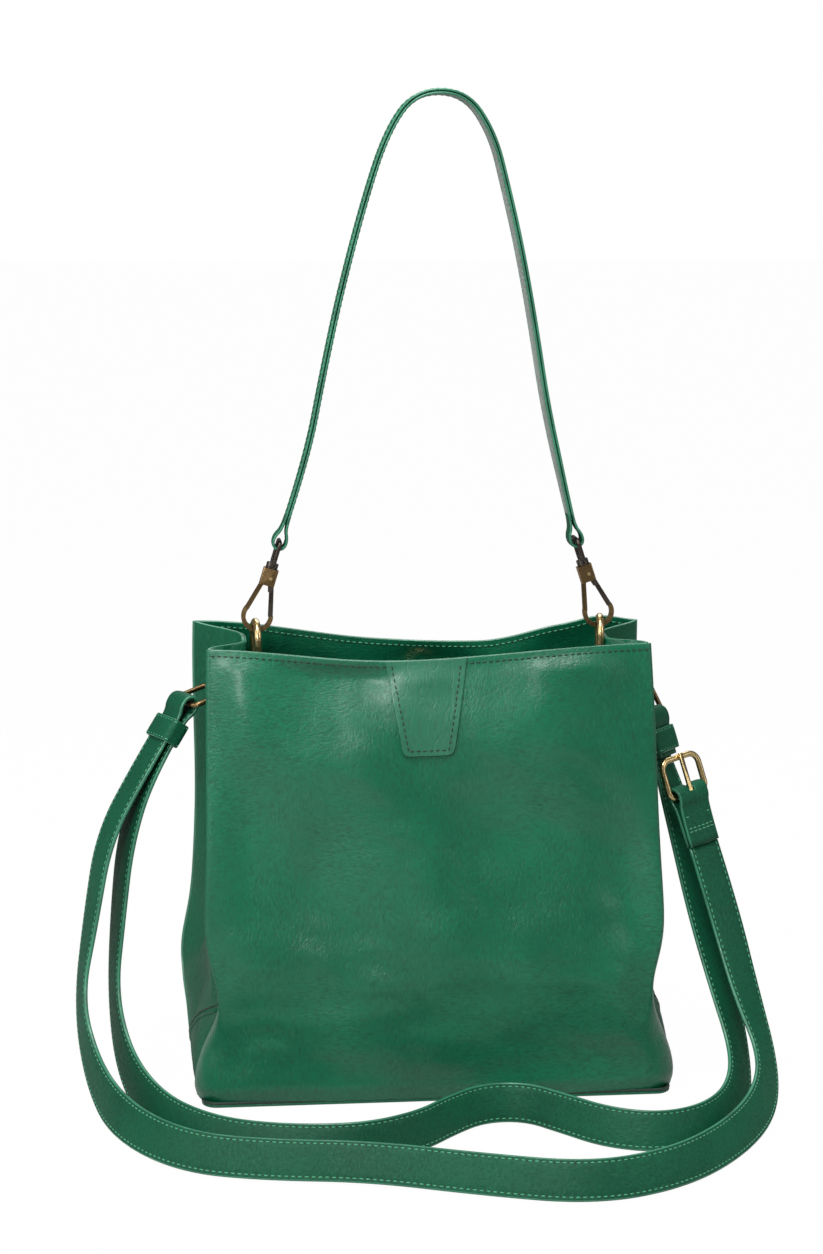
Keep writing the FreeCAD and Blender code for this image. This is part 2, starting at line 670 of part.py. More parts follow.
def build_clip(name, side):
    block = "([clip_block] / 2)"
    rounded = "[clip_round]"
    frame = new_body(f"{name}_clip_frame")
    outline = sketch_on(frame, "XZ_Plane")
    add_polygon(outline, [(f"-{rounded}", rounded), (rounded, rounded), (block, "[clip_block_low]"),
                          (f"-{block}", "[clip_block_low]")])
    pad(frame, outline, "[clip_thick]", centred=True)
    foot = sketch_on(frame, "XZ_Plane")
    add_circle(foot, ("0", rounded), f"2 * {rounded}")
    pad(frame, foot, "[clip_thick]", centred=True)
    inner_low = f"({rounded} - [clip_wire])"
    opening = sketch_on(frame, "XZ_Plane")
    add_polygon(opening, [(f"-{inner_low}", rounded), (inner_low, rounded),
                          (f"{block} - [clip_wire]", "[clip_block_low]"),
                          (f"-{block} + [clip_wire]", "[clip_block_low]")])
    pocket(frame, opening)
    bowl = sketch_on(frame, "XZ_Plane")
    add_circle(bowl, ("0", rounded), f"2 * {inner_low}")
    pocket(frame, bowl)
    gap = sketch_on(frame, "XZ_Plane")
    add_polygon(gap, [("1.0", "[clip_block_low]"), (f"{block} + 2", "[clip_block_low]"),
                      (f"{leg_x('[gate_foot]')} + 2", "[gate_foot] + 0.9"),
                      (f"{leg_x('[gate_foot]')} - [clip_wire] - 2", "[gate_foot] - 2.0")])
    pocket(frame, gap)
    head = sketch_on(frame, "XZ_Plane")
    add_polygon(head, rectangle(f"-{block}", block, "[clip_block_low]", "[clip_block_high]"))
    pad(frame, head, f"{SLOT} + 2 * {CLIP_WALL}", centred=True)
    doc.recompute()
    round_ends(frame, 0.6, lambda edge: edge.BoundBox.ZMin > size("clip_block_low") - 0.1
               and abs(abs(edge.BoundBox.XMin) - size("clip_block") / 2) < 0.1
               and edge.BoundBox.ZLength > 5)
    slot = sketch_on(frame, "XZ_Plane")
    add_polygon(slot, rectangle("-2.4", f"{block} + 1", "[clip_block_low] - 0.1", "[clip_block_low] + 7.2"))
    cut = pocket(frame, slot, f"{SLOT}")
    cut.SideType = "Symmetric"
    bore = sketch_on(frame, "XZ_Plane")
    add_circle(bore, PIVOT, "[gate_pin]")
    pocket(frame, bore)
    neck = sketch_on(frame, "XY_Plane", "[clip_block_high]")
    add_circle(neck, ("0", "0"), f"{SWIVEL_PIN} + 2 * {SWIVEL_FIT}")
    pocket(frame, neck, "2.4")
    seat_clip_piece(frame, side)

    pin_body = new_body(f"{name}_gate_pin")
    shank = sketch_on(pin_body, "XZ_Plane")
    add_circle(shank, PIVOT, "[gate_pin]")
    pad(pin_body, shank, f"{SLOT} + 2 * {CLIP_WALL} + 0.8", centred=True)
    seat_clip_piece(pin_body, side)

    gate = new_body(f"{name}_clip_gate")
    arm = sketch_on(gate, "XZ_Plane")
    top_z, foot_z = "([clip_block_low] - 0.4)", "[gate_foot]"
    add_polygon(arm, [
        (leg_x(top_z), top_z),
        (f"{leg_x(top_z)} - [clip_wire]", top_z),
        (f"{leg_x(foot_z)} - [clip_wire]", f"{foot_z} - 0.75"),
        (leg_x(foot_z), f"{foot_z} + 0.37"),
    ])
    pad(gate, arm, "[clip_thick] - 0.4", centred=True)
    tongue = sketch_on(gate, "XZ_Plane", "-0.4")
    add_polygon(tongue, [
        (f"{leg_x(top_z)} - 0.2", f"{top_z} - 3"),
        (f"{leg_x(top_z)} - 0.2", f"{top_z} + 4"),
        ("2.4", "[clip_block_low] + 6.6"),
        ("0.0", "[clip_block_low] + 6.6"),
        ("-0.9", "[clip_block_low] + 4.5"),
        ("0.2", "[clip_block_low] + 2.4"),
        (f"{leg_x(top_z)} - [clip_wire]", f"{top_z} - 3"),
    ])
    pad(gate, tongue, f"{TONGUE}")
    hole = sketch_on(gate, "XZ_Plane")
    add_circle(hole, PIVOT, "[gate_pin] + 0.1")
    pocket(gate, hole)
    seat_clip_piece(gate, side)

    spring = new_body(f"{name}_gate_spring")
    coil = sketch_on(spring, "XZ_Plane", "-1.6")
    add_circle(coil, PIVOT, "3.8")
    add_circle(coil, PIVOT, "[gate_pin] + 0.5")
    pad(spring, coil, "0.9")
    seat_clip_piece(spring, side)

    rim = f"([eye_inner] / 2 + [eye_wire] / 2)"
    rise_low = "([clip_block_high] + [swivel_play] + 2.6)"
    reach = f"([clip_block_high] + [eye_rise] - {rise_low})"
    eye = bend_ring(f"{name}_swivel_eye", rim, reach, "[eye_wire]", "2", "2.5")
    collar = sketch_on(eye, "XY_Plane", "-2.6")
    add_circle(collar, ("0", "0"), "[eye_collar]")
    pad(eye, collar, "3.2")
    stem = sketch_on(eye, "XY_Plane", "-2.6 - [swivel_play] - 2.2")
    add_circle(stem, ("0", "0"), f"{SWIVEL_PIN}")
    pad(eye, stem, "2.6")
    base, turn = clip_placement(side)
    lift = turn.multVec(Vector(0, 0, value_of(rise_low)))
    eye.Placement = FreeCAD.Placement(base + lift, turn)



# ---------------------------------------------------------------------------------------------------
# Bands of leather along a route: straight runs joined by arcs, with the band turned as the route says
# ---------------------------------------------------------------------------------------------------

ARC_SHARE = 0.45
ARC_STEP = 12


def unit(x, y, z):
    return Vector(x, y, z).normalize()


class Route:
    """A path through points. Each point has a hint for the direction of the band's width there."""

    def __init__(self, points, hints):
        self.points = points
        self.hints = hints
        self.stations = []
        self.marks = []
        self.edges = []
        self.radii = []
        self.length = 0.0
        self.lay_out()

    def add(self, place, direction):
        self.stations.append((place, direction, self.length))

    def lay_out(self):
        start = self.points[0]
        for i in range(1, len(self.points) - 1):
            corner = self.points[i]
            into = corner - self.points[i - 1]
            away = self.points[i + 1] - corner
            cut = ARC_SHARE * min(into.Length, away.Length)
            into.normalize()
            away.normalize()
            turn = into.getAngle(away)
            radius = cut / math.tan(turn / 2)
            self.radii.append(radius)
            first, last = corner - into * cut, corner + away * cut
            self.straight(start, first, into)
            towards = (away - into).normalize()
            centre = first + (towards - into * towards.dot(into)).normalize() * radius
            middle = centre + (corner - centre).normalize() * radius
            self.edges.append(Part.Arc(first, middle, last).toShape())
            steps = max(2, math.ceil(math.degrees(turn) / ARC_STEP))
            axis = into.cross(away)
            before = self.length
            for k in range(1, steps + 1):
                swing = Rotation(axis, math.degrees(turn) * k / steps)
                self.length = before + radius * turn * k / steps
                self.add(centre + swing.multVec(first - centre), swing.multVec(into))
            self.marks.append(before + radius * turn / 2)
            start = last
        direction = (self.points[-1] - start).normalize()
        self.straight(start, self.points[-1], direction)
        self.marks = [0.0] + self.marks + [self.length]

    def straight(self, start, end, direction):
        if not self.stations:
            self.add(start, direction)
        self.edges.append(Part.LineSegment(start, end).toShape())
        run = (end - start).Length
        before = self.length
        pieces = 3
        for k in range(1, pieces + 1):
            self.length = before + run * k / pieces
            self.add(start + (end - start) * (k / pieces), direction)

    def hint_at(self, distance):
        for i in range(len(self.marks) - 1):
            low, high = self.marks[i], self.marks[i + 1]
            if distance <= high + 1e-6:
                share = (distance - low) / (high - low)
                return self.hints[i] * (1 - share) + self.hints[i + 1] * share
        return self.hints[-1]

    def frame_at(self, place, direction, distance):
        """The width direction and the face's normal at one station."""
        hint = self.hint_at(distance)
        across = (hint - direction * hint.dot(direction)).normalize()
        return across, direction.cross(across)


def add_shape(label, shape):
    part = doc.addObject("Part::Feature", label)
    part.Label = label
    part.Shape = shape
    SUB_PARTS.append(part)
    return part


def band(label, route, width, thickness, shift=0.0):
    """A flat band of leather along a route, moved sideways along its own normal by shift."""
    sections = []
    for place_now, direction, distance in route.stations:
        across, normal = route.frame_at(place_now, direction, distance)
        middle = place_now + normal * shift
        a, b = across * (width / 2), normal * (thickness / 2)
        corners = [middle - a - b, middle + a - b, middle + a + b, middle - a + b]
        sections.append(Part.makePolygon(corners + corners[:1]))
    shape = Part.makeLoft(sections, True, True)
    expected = width * thickness * route.length
    share = abs(shape.Volume) / expected
    radii = " ".join(f"{radius:.0f}" for radius in route.radii)
    print(f"{label}: length {route.length:.0f}, volume share {share:.3f}, radii {radii}")
    if abs(share - 1) > 0.06:
        raise RuntimeError(f"{label} doesn't hold its section along its route")
    return add_shape(label, shape)


def fold_piece(label, hole, thickness, width, neck, neck_length, slot):
    """A band folded round a bar along Y at the origin, its two layers hanging down along -Z."""
    body = new_body(label)
    outer = f"({hole} + 2 * {thickness})"
    disc = sketch_on(body, "XZ_Plane")
    add_circle(disc, ("0", "0"), outer)
    pad(body, disc, width, centred=True)
    layers = sketch_on(body, "XZ_Plane")
    add_polygon(layers, rectangle(f"-{neck} / 2", f"{neck} / 2", f"-{neck_length}", "0"))
    pad(body, layers, width, centred=True)
    bore = sketch_on(body, "XZ_Plane")
    add_circle(bore, ("0", "0"), hole)
    pocket(body, bore)
    if slot is not None:
        split = sketch_on(body, "XZ_Plane")
        add_polygon(split, rectangle(f"-{slot} / 2", f"{slot} / 2", f"-{neck_length} - 1", "0"))
        pocket(body, split)
    return body


def hang(body, centre, down, across):
    """Turn a piece drawn hanging along -Z so that it hangs along down, with its Y axis along across."""
    up = down * -1
    level = (across - up * across.dot(up)).normalize()
    body.Placement = FreeCAD.Placement(centre, Rotation(level.cross(up), level, up, "ZYX"))


# ---------------------------------------------------------------------------------------------------
# Handle: two layers of leather, folded round the swivel eyes at its ends
# ---------------------------------------------------------------------------------------------------

HANDLE_NECK = 11.0
# Across the bag, and up from the rim
HANDLE_ROUTE = [(-70, 106), (-61, 152), (-51, 198), (-37, 250), (-24, 289), (-8, 311), (20, 311), (36, 288),
                (44, 257), (52, 223), (60, 180), (67, 136), (76, 96)]


def eye_centre(side):
    base, turn = clip_placement(side)
    return base + turn.multVec(Vector(0, 0, size("clip_block_high") + size("eye_rise")))


def build_handle():
    middle = [Vector(x, 0, size("bag_height") + z) for x, z in HANDLE_ROUTE]
    layer = size("handle_leather")
    ends = []
    for name, side, towards in (("left", -1, middle[0]), ("right", 1, middle[-1])):
        eye = eye_centre(side)
        upward = (towards - eye).normalize()
        fold = fold_piece(f"handle_{name}_loop", "([eye_wire] + 2 * [loop_play])", "[handle_leather]",
                          "[loop_width]", "(2 * [handle_leather])", str(HANDLE_NECK), None)
        slack = size("loop_play") - 0.3
        hang(fold, eye + upward * slack, upward, Vector(0, 1, 0))
        ends.append(eye + upward * (slack + HANDLE_NECK))
    points = [ends[0]] + middle + [ends[1]]
    route = Route(points, [Vector(0, 1, 0)] * len(points))
    width = size("handle_width")
    band("handle_outer", route, width, layer, layer / 2)
    band("handle_backing", route, width, layer, -layer / 2)


# ---------------------------------------------------------------------------------------------------
# Side rings, and the long strap that is doubled through them
# ---------------------------------------------------------------------------------------------------

# How far each side ring swings to the front and droops, in degrees
SIDE_SWING = {-1: 25, 1: 36}
SIDE_DROOP = {-1: 16, 1: 60}
STRAP_SLACK = 0.7
STRAP_NECK = {-1: 14.0, 1: 24.0}
KEEPER_ALONG = {-1: 18.0, 1: 14.0}
LAYER_GAP = 1.5
NAMES = {-1: "left", 1: "right"}


def side_bar(side):
    """Middle of a side ring's bar."""
    return Vector(side * value_of(f"{fold_x(SIDE_RING_Z)} + [side_stand]"), 0, value_of(SIDE_RING_Z))


def side_directions(side):
    """Where a side ring points from its bar, and the direction of the bar."""
    swing, droop = math.radians(SIDE_SWING[side]), math.radians(SIDE_DROOP[side])
    out = Vector(side * math.cos(swing), -math.sin(swing), 0)
    bar = Z_AXIS.cross(out)
    return out * math.cos(droop) - Z_AXIS * math.sin(droop), bar


def square_to(direction, bar):
    """The direction, turned as little as possible so that it stands square to the bar."""
    return (direction - bar * direction.dot(bar)).normalize()


STRAP_DOWN = {
    -1: square_to(Vector(-0.59, -0.06, -0.80), side_directions(-1)[1]),
    1: square_to(Vector(0.24, -0.22, -0.945), side_directions(1)[1]),
}


def strap_point(side, distance):
    """A point on the doubled strap below a side ring."""
    out, _ = side_directions(side)
    tip = side_bar(side) + out * size("side_reach")
    return tip + STRAP_DOWN[side] * (STRAP_SLACK + distance)


def layer_offset():
    return (LAYER_GAP + size("strap_thick")) / 2


def build_side_ring(side):
    name = NAMES[side]
    half = "(([side_inner] + [side_wire]) / 2)"
    ring = bend_ring(f"{name}_side_ring", half, "[side_reach]", "[side_wire]", "[side_corner]", "[side_corner]")
    out, bar = side_directions(side)
    ring.Placement = FreeCAD.Placement(side_bar(side), Rotation(bar.cross(out), bar, out, "ZYX"))

    patch = new_body(f"{name}_side_patch")
    low, high = f"({SIDE_RING_Z} - [side_tab_drop])", f"({SIDE_RING_Z} + 8)"
    sketches = []
    for z in (low, high):
        sketch = sketch_on(patch, "XY_Plane", z)
        near, far = f"{side} * {fold_x(z)}", f"{side} * ({fold_x(z)} + [side_patch])"
        add_polygon(sketch, rectangle(near, far, "-[fold_flat] / 2 + 1", "[fold_flat] / 2 - 1"))
        sketches.append(sketch)
    loft(patch, sketches)

    bar_middle = side_bar(side)
    hole = size("side_wire") / 2 + size("side_play")
    outer = hole + size("tab_strap")
    flat_out = Vector(out.x, out.y, 0).normalize()
    width = min(size("side_tab_width"), size("side_inner") - 2 * size("side_corner") - 1)
    start = bar_middle - bar * (width / 2)
    loop = Part.makeCylinder(outer, width, start, bar)
    neck = Part.makeBox(40, width, 2 * size("tab_strap"))
    neck.translate(Vector(0, -width / 2, -size("tab_strap")))
    neck.Placement = FreeCAD.Placement(bar_middle, Rotation(flat_out * -1, bar * -1, Z_AXIS)).multiply(neck.Placement)
    bore = Part.makeCylinder(hole, width + 2, bar_middle - bar * (width / 2 + 1), bar)
    tab = loop.fuse(neck).cut(bore)
    wall = []
    for z in (bar_middle.z - 30, bar_middle.z + 30):
        face = value_of(f"{fold_x(str(z))} + [side_patch]")
        wall.append((side * face, z))
    corners = [Vector(wall[0][0], -60, wall[0][1]), Vector(wall[1][0], -60, wall[1][1]),
               Vector(0, -60, wall[1][1]), Vector(0, -60, wall[0][1])]
    inside = Part.Face(Part.makePolygon(corners + corners[:1])).extrude(Vector(0, 120, 0))
    panel = doc.getObject(f"{name}_side_panel").Shape
    add_shape(f"{name}_side_tab", tab.cut(inside).cut(panel).removeSplitter())

    stud_z = f"({SIDE_RING_Z} - [side_tab_drop] + 8)"
    stud_x = f"{side} * ({fold_x(stud_z)} + [side_patch])"
    return dome(f"{name}_side_stud", (stud_x, "0", stud_z), about(Y_AXIS, side * (90 - fold_slope())))


def build_strap_fold(side):
    name = NAMES[side]
    _, bar = side_directions(side)
    fold = fold_piece(f"strap_{name}_fold", "([side_wire] + 2 * [side_play])", "[strap_thick]",
                      "[fold_width]", f"(2 * [strap_thick] + {LAYER_GAP})", str(STRAP_NECK[side]), str(LAYER_GAP))
    hang(fold, strap_point(side, 0), STRAP_DOWN[side], bar)


def build_keeper(side, distance):
    """A band of leather round both layers of the strap."""
    body = new_body(f"{NAMES[side]}_keeper")
    play = "[keeper_play]"
    deep = f"([strap_thick] + {LAYER_GAP} / 2 + {play})"
    wide = f"([strap_width] / 2 + {play})"
    wall = "[keeper_leather]"
    outline = sketch_on(body, "XY_Plane")
    add_polygon(outline, rectangle(f"-{deep} - {wall}", f"{deep} + {wall}", f"-{wide} - {wall}", f"{wide} + {wall}"))
    pad(body, outline, "[keeper_length]", centred=True)
    opening = sketch_on(body, "XY_Plane")
    add_polygon(opening, rectangle(f"-{deep}", deep, f"-{wide}", wide))
    pocket(body, opening)
    _, bar = side_directions(side)
    hang(body, strap_point(side, distance), STRAP_DOWN[side], bar)


# The strap's two runs, from the left ring, down to the floor, across in front of the bag and up to the right
FRONT_POINTS = [(-187, -24, 150), (-195, -24, 104), (-203, -34, 56), (-194, -66, 22), (-178, -114, 12),
                (-146, -158, 10), (-104, -174, 10), (-48, -182, 10), (8, -206, 10), (62, -224, 10),
                (108, -207, 10), (146, -168, 10), (174, -122, 13), (184, -86, 26), (176, -60, 60), (168, -38, 101)]
FRONT_TURNS = [(0.40, -0.92, 0), (0.35, -0.95, 0), (0.2, -0.8, 0.5), (0.3, -0.3, 0.9), (0.45, 0.1, 0.87),
               (0.35, 0.35, 0.87), (0.1, 0.5, 0.87), (0.1, 0.5, 0.87), (0.1, 0.5, 0.87), (0, 0.5, 0.87),
               (-0.2, 0.45, 0.87), (-0.35, 0.35, 0.87), (-0.45, 0.25, 0.85), (-0.6, -0.3, 0.65),
               (-0.85, -0.4, 0.3), (-0.9, -0.4, 0.1)]
BACK_POINTS = [(-179, -22, 148), (-184, -18, 104), (-188, -25, 58), (-181, -52, 24), (-164, -98, 13),
               (-134, -138, 12), (-96, -155, 12), (-52, -160, 12), (-18, -143, 12), (3, -118, 12),
               (22, -101, 12), (43, -101, 12), (60, -120, 12), (82, -146, 12), (112, -157, 12),
               (143, -143, 12), (166, -108, 13), (174, -76, 27), (168, -50, 62), (159, -33, 101)]
BACK_TURNS = [(0.40, -0.92, 0), (0.35, -0.95, 0), (0.2, -0.8, 0.5), (0.3, -0.3, 0.9), (0.45, 0.1, 0.87),
              (0.35, 0.35, 0.87), (0.1, 0.5, 0.87), (-0.1, 0.3, 0.95), (-0.2, 0.2, 0.95), (-0.2, 0.2, 0.95),
              (0, 0.3, 0.95), (0, 0.3, 0.95), (0.2, 0.2, 0.95), (0.1, 0.4, 0.9), (-0.1, 0.45, 0.87), (-0.35, 0.35, 0.87),
              (-0.45, 0.25, 0.85), (-0.6, -0.3, 0.65), (-0.85, -0.4, 0.3), (-0.9, -0.4, 0.1)]
BUCKLE_ALONG = 48.0
BUCKLE_ACROSS = Vector(0.85, 0.50, 0.12)
TIP_LENGTH = 66.0
BUCKLE_CLEAR = 5.5
BUCKLE_NECK = 30.0


def vectors(rows):
    return [Vector(*row) for row in rows]


def buckle_frame_axes():
    down = STRAP_DOWN[1]
    across = square_to(BUCKLE_ACROSS, down)
    return across, down.cross(across)


def buckle_bar():
    """Middle of the buckle's bar, in front of the strap's tip."""
    _, outward = buckle_frame_axes()
    return strap_point(1, BUCKLE_ALONG) + outward * (2 * size("strap_thick") + BUCKLE_CLEAR)


def build_strap():
    width, thick = size("strap_width"), size("strap_thick")
    shift = layer_offset()
    _, left_bar = side_directions(-1)
    _, right_bar = side_directions(1)
    across, outward = buckle_frame_axes()

    front_start = [strap_point(-1, STRAP_NECK[-1]), strap_point(-1, 46)]
    front_end = [buckle_bar() + STRAP_DOWN[1] * (BUCKLE_NECK + 0.5) - outward * shift]
    hints = [left_bar] * 2
    points = front_start + vectors(FRONT_POINTS) + front_end
    turns = hints + vectors(FRONT_TURNS) + [across * -1]
    band("strap_front_run", Route(points, turns), width, thick, shift)

    back_end = [strap_point(1, 68), strap_point(1, STRAP_NECK[1])]
    points = front_start + vectors(BACK_POINTS) + back_end
    turns = hints + vectors(BACK_TURNS) + [across * -1, right_bar * -1]
    band("strap_back_run", Route(points, turns), width, thick, -shift)

    tip = Route([strap_point(1, STRAP_NECK[1]), strap_point(1, TIP_LENGTH)], [right_bar, across])
    band("strap_tip", tip, width, thick, shift)


def build_buckle():
    across, outward = buckle_frame_axes()
    down = STRAP_DOWN[1]
    half = "(([buckle_inner] + [buckle_wire]) / 2)"
    frame = bend_ring("buckle_frame", half, "[buckle_length]", "[buckle_wire]", "4", "6")
    hang(frame, buckle_bar(), down, across)

    fold = fold_piece("buckle_fold", "([buckle_wire] + 2 * 0.4)", "[strap_thick]", "[strap_width]",
                      "(2 * [strap_thick])", str(BUCKLE_NECK), None)
    slot = sketch_on(fold, "XZ_Plane")
    add_polygon(slot, rectangle("-12", "12", "-4.4", "12"))
    opening = pocket(fold, slot, "[prong_width] + 1.6")
    opening.SideType = "Symmetric"
    hang(fold, buckle_bar(), down, across)

    prong = new_body("buckle_prong")
    knuckle = sketch_on(prong, "XZ_Plane")
    add_circle(knuckle, ("0", "0"), "[buckle_wire] + 3.6")
    pad(prong, knuckle, "[prong_width]", centred=True)
    arm = sketch_on(prong, "XZ_Plane")
    rest = "([buckle_wire] / 2 + 0.3)"
    add_polygon(arm, [("1.0", "2.4"), (f"{rest} + 1.6", "1.0"), (f"{rest} + 1.6", "[buckle_length] + 2.2"),
                      (rest, "[buckle_length] + 2.2"), (rest, "4.0")])
    pad(prong, arm, "[prong_width]", centred=True)
    eye = sketch_on(prong, "XZ_Plane")
    add_circle(eye, ("0", "0"), "[buckle_wire] + 0.2")
    pocket(prong, eye)
    hang(prong, buckle_bar(), down, across)


build_shell()
build_front_tab()
build_snap()
build_divider()
build_zip()
build_handle_rings()
build_clip("left", -1)
build_clip("right", 1)
build_handle()
studs = [build_side_ring(-1), build_side_ring(1)]
group("side_studs", studs)
for side_now in (-1, 1):
    build_strap_fold(side_now)
    build_keeper(side_now, KEEPER_ALONG[side_now])
build_strap()
build_buckle()

# ---------------------------------------------------------------------------------------------------
# Checks and files
# ---------------------------------------------------------------------------------------------------

doc.recompute()
for item in doc.Objects:
    if "Invalid" in item.State or "Error" in item.State:
        raise RuntimeError(f"{item.Label} did not build: {item.State}")
os.makedirs("parts", exist_ok=True)
for part in SUB_PARTS:
    if part.Shape.isNull() or not part.Shape.isValid():
        raise RuntimeError(f"{part.Label} has no valid shape")
    part.Shape.exportStep(f"parts/{part.Label}.step")
print(len(SUB_PARTS), "sub-parts written")
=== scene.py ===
import math
import bpy, bmesh
from mathutils import Matrix, Vector, noise


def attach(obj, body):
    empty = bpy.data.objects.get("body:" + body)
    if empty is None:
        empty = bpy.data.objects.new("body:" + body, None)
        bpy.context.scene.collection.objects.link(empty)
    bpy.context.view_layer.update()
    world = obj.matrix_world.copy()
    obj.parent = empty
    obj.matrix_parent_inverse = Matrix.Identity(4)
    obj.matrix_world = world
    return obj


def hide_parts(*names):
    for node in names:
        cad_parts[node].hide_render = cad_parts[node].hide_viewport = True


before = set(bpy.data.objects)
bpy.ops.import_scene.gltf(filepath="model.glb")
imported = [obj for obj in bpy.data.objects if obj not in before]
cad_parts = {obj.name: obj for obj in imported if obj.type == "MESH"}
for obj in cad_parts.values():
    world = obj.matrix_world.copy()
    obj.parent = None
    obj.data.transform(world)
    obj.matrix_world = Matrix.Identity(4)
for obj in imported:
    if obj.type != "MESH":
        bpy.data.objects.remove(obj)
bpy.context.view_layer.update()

bl_info = {
    "name": "Bucket bag",
    "version": (1, 0, 0),
    "blender": (4, 5, 0),
    "location": "View3D > Sidebar > Bag",
    "description": "Builds a soft leather bucket bag with a clip-on handle and a long strap",
    "category": "Add Mesh",
}

# Sizes and colours


SIDES = (("left", -1), ("right", 1))
WALLS = (("front", -1), ("back", 1))
STRAP_FACES = ("strap leather", "edge", "strap leather")
TAB_FACES = ("smooth leather", "edge", "smooth leather")


def length_property(name, description, default):
    return bpy.props.FloatProperty(name=name, description=description, default=default, unit="LENGTH", precision=4)


def colour_property(name, description, default):
    return bpy.props.FloatVectorProperty(name=name, description=description, default=default, size=3,
                                         subtype="COLOR", min=0.0, max=1.0)


class BagSizes(bpy.types.PropertyGroup):
    base_width: length_property("Base width", "Width of the base, left to right", 0.274)
    base_depth: length_property("Base depth", "Depth of the base, front to back", 0.130)
    height: length_property("Height", "Floor to rim", 0.260)
    rim_width: length_property("Rim width", "Width of the mouth at its corners", 0.255)
    rim_depth: length_property("Rim depth", "Depth of the mouth at its corners", 0.076)
    belly: length_property("Belly", "How far the front and back swell at half height", 0.005)
    fold_depth: length_property("Side fold", "How far each side folds in at the rim", 0.020)
    leather: length_property("Leather", "Thickness of the outer leather", 0.002)
    front_dip: length_property("Front dip", "How far the middle of the front rim dips", 0.005)
    back_dip: length_property("Back dip", "How far the middle of the back rim dips", 0.005)
    waist: length_property("Waist", "How far the side edges draw in above the base corners", 0.0095)
    strap_width: length_property("Strap width", "Width of the long strap", 0.022)
    strap_thickness: length_property("Strap thickness", "Thickness of the long strap", 0.003)
    handle_width: length_property("Handle width", "Width of the short handle", 0.020)
    stitch_pitch: length_property("Stitch pitch", "Distance between stitches", 0.0036)
    stitch_length: length_property("Stitch length", "Visible length of one stitch", 0.0027)
    thread: length_property("Thread", "Thickness of the thread", 0.0009)


class BagColours(bpy.types.PropertyGroup):
    leather: colour_property("Leather", "The bag's outer leather", (0.0012, 0.112, 0.052))
    # Painted shade: this darker green is laid into the wrinkle valleys and fold creases of the leathers. It is also
    # the colour of the random darker dye patches.
    leather_patches_and_crease_shade: colour_property("Leather, creases", "The same leather in its creases", (0.0006, 0.052, 0.024))
    edge: colour_property("Edge paint", "Painted edges of the leather", (0.026, 0.180, 0.098))
    flesh: colour_property("Flesh side", "Grey green back of the handle", (0.115, 0.155, 0.130))
    lining: colour_property("Lining", "Cloth inside the bag", (0.010, 0.080, 0.040))
    thread: colour_property("Thread", "Stitching", (0.045, 0.300, 0.150))
    dark_thread: colour_property("Dark thread", "Stitching on the outside, and the welt round the base",
                                 (0.0012, 0.022, 0.011))
    antique: colour_property("Antique brass", "Clips and side rings", (0.200, 0.130, 0.060))
    brass: colour_property("Pale brass", "Handle rings and buckle", (0.520, 0.390, 0.190))
    gunmetal: colour_property("Gunmetal", "Swivel eyes and gates", (0.060, 0.050, 0.042))


def sizes():
    return bpy.context.scene.bag_sizes


def colours():
    return bpy.context.scene.bag_colours


# Finishes


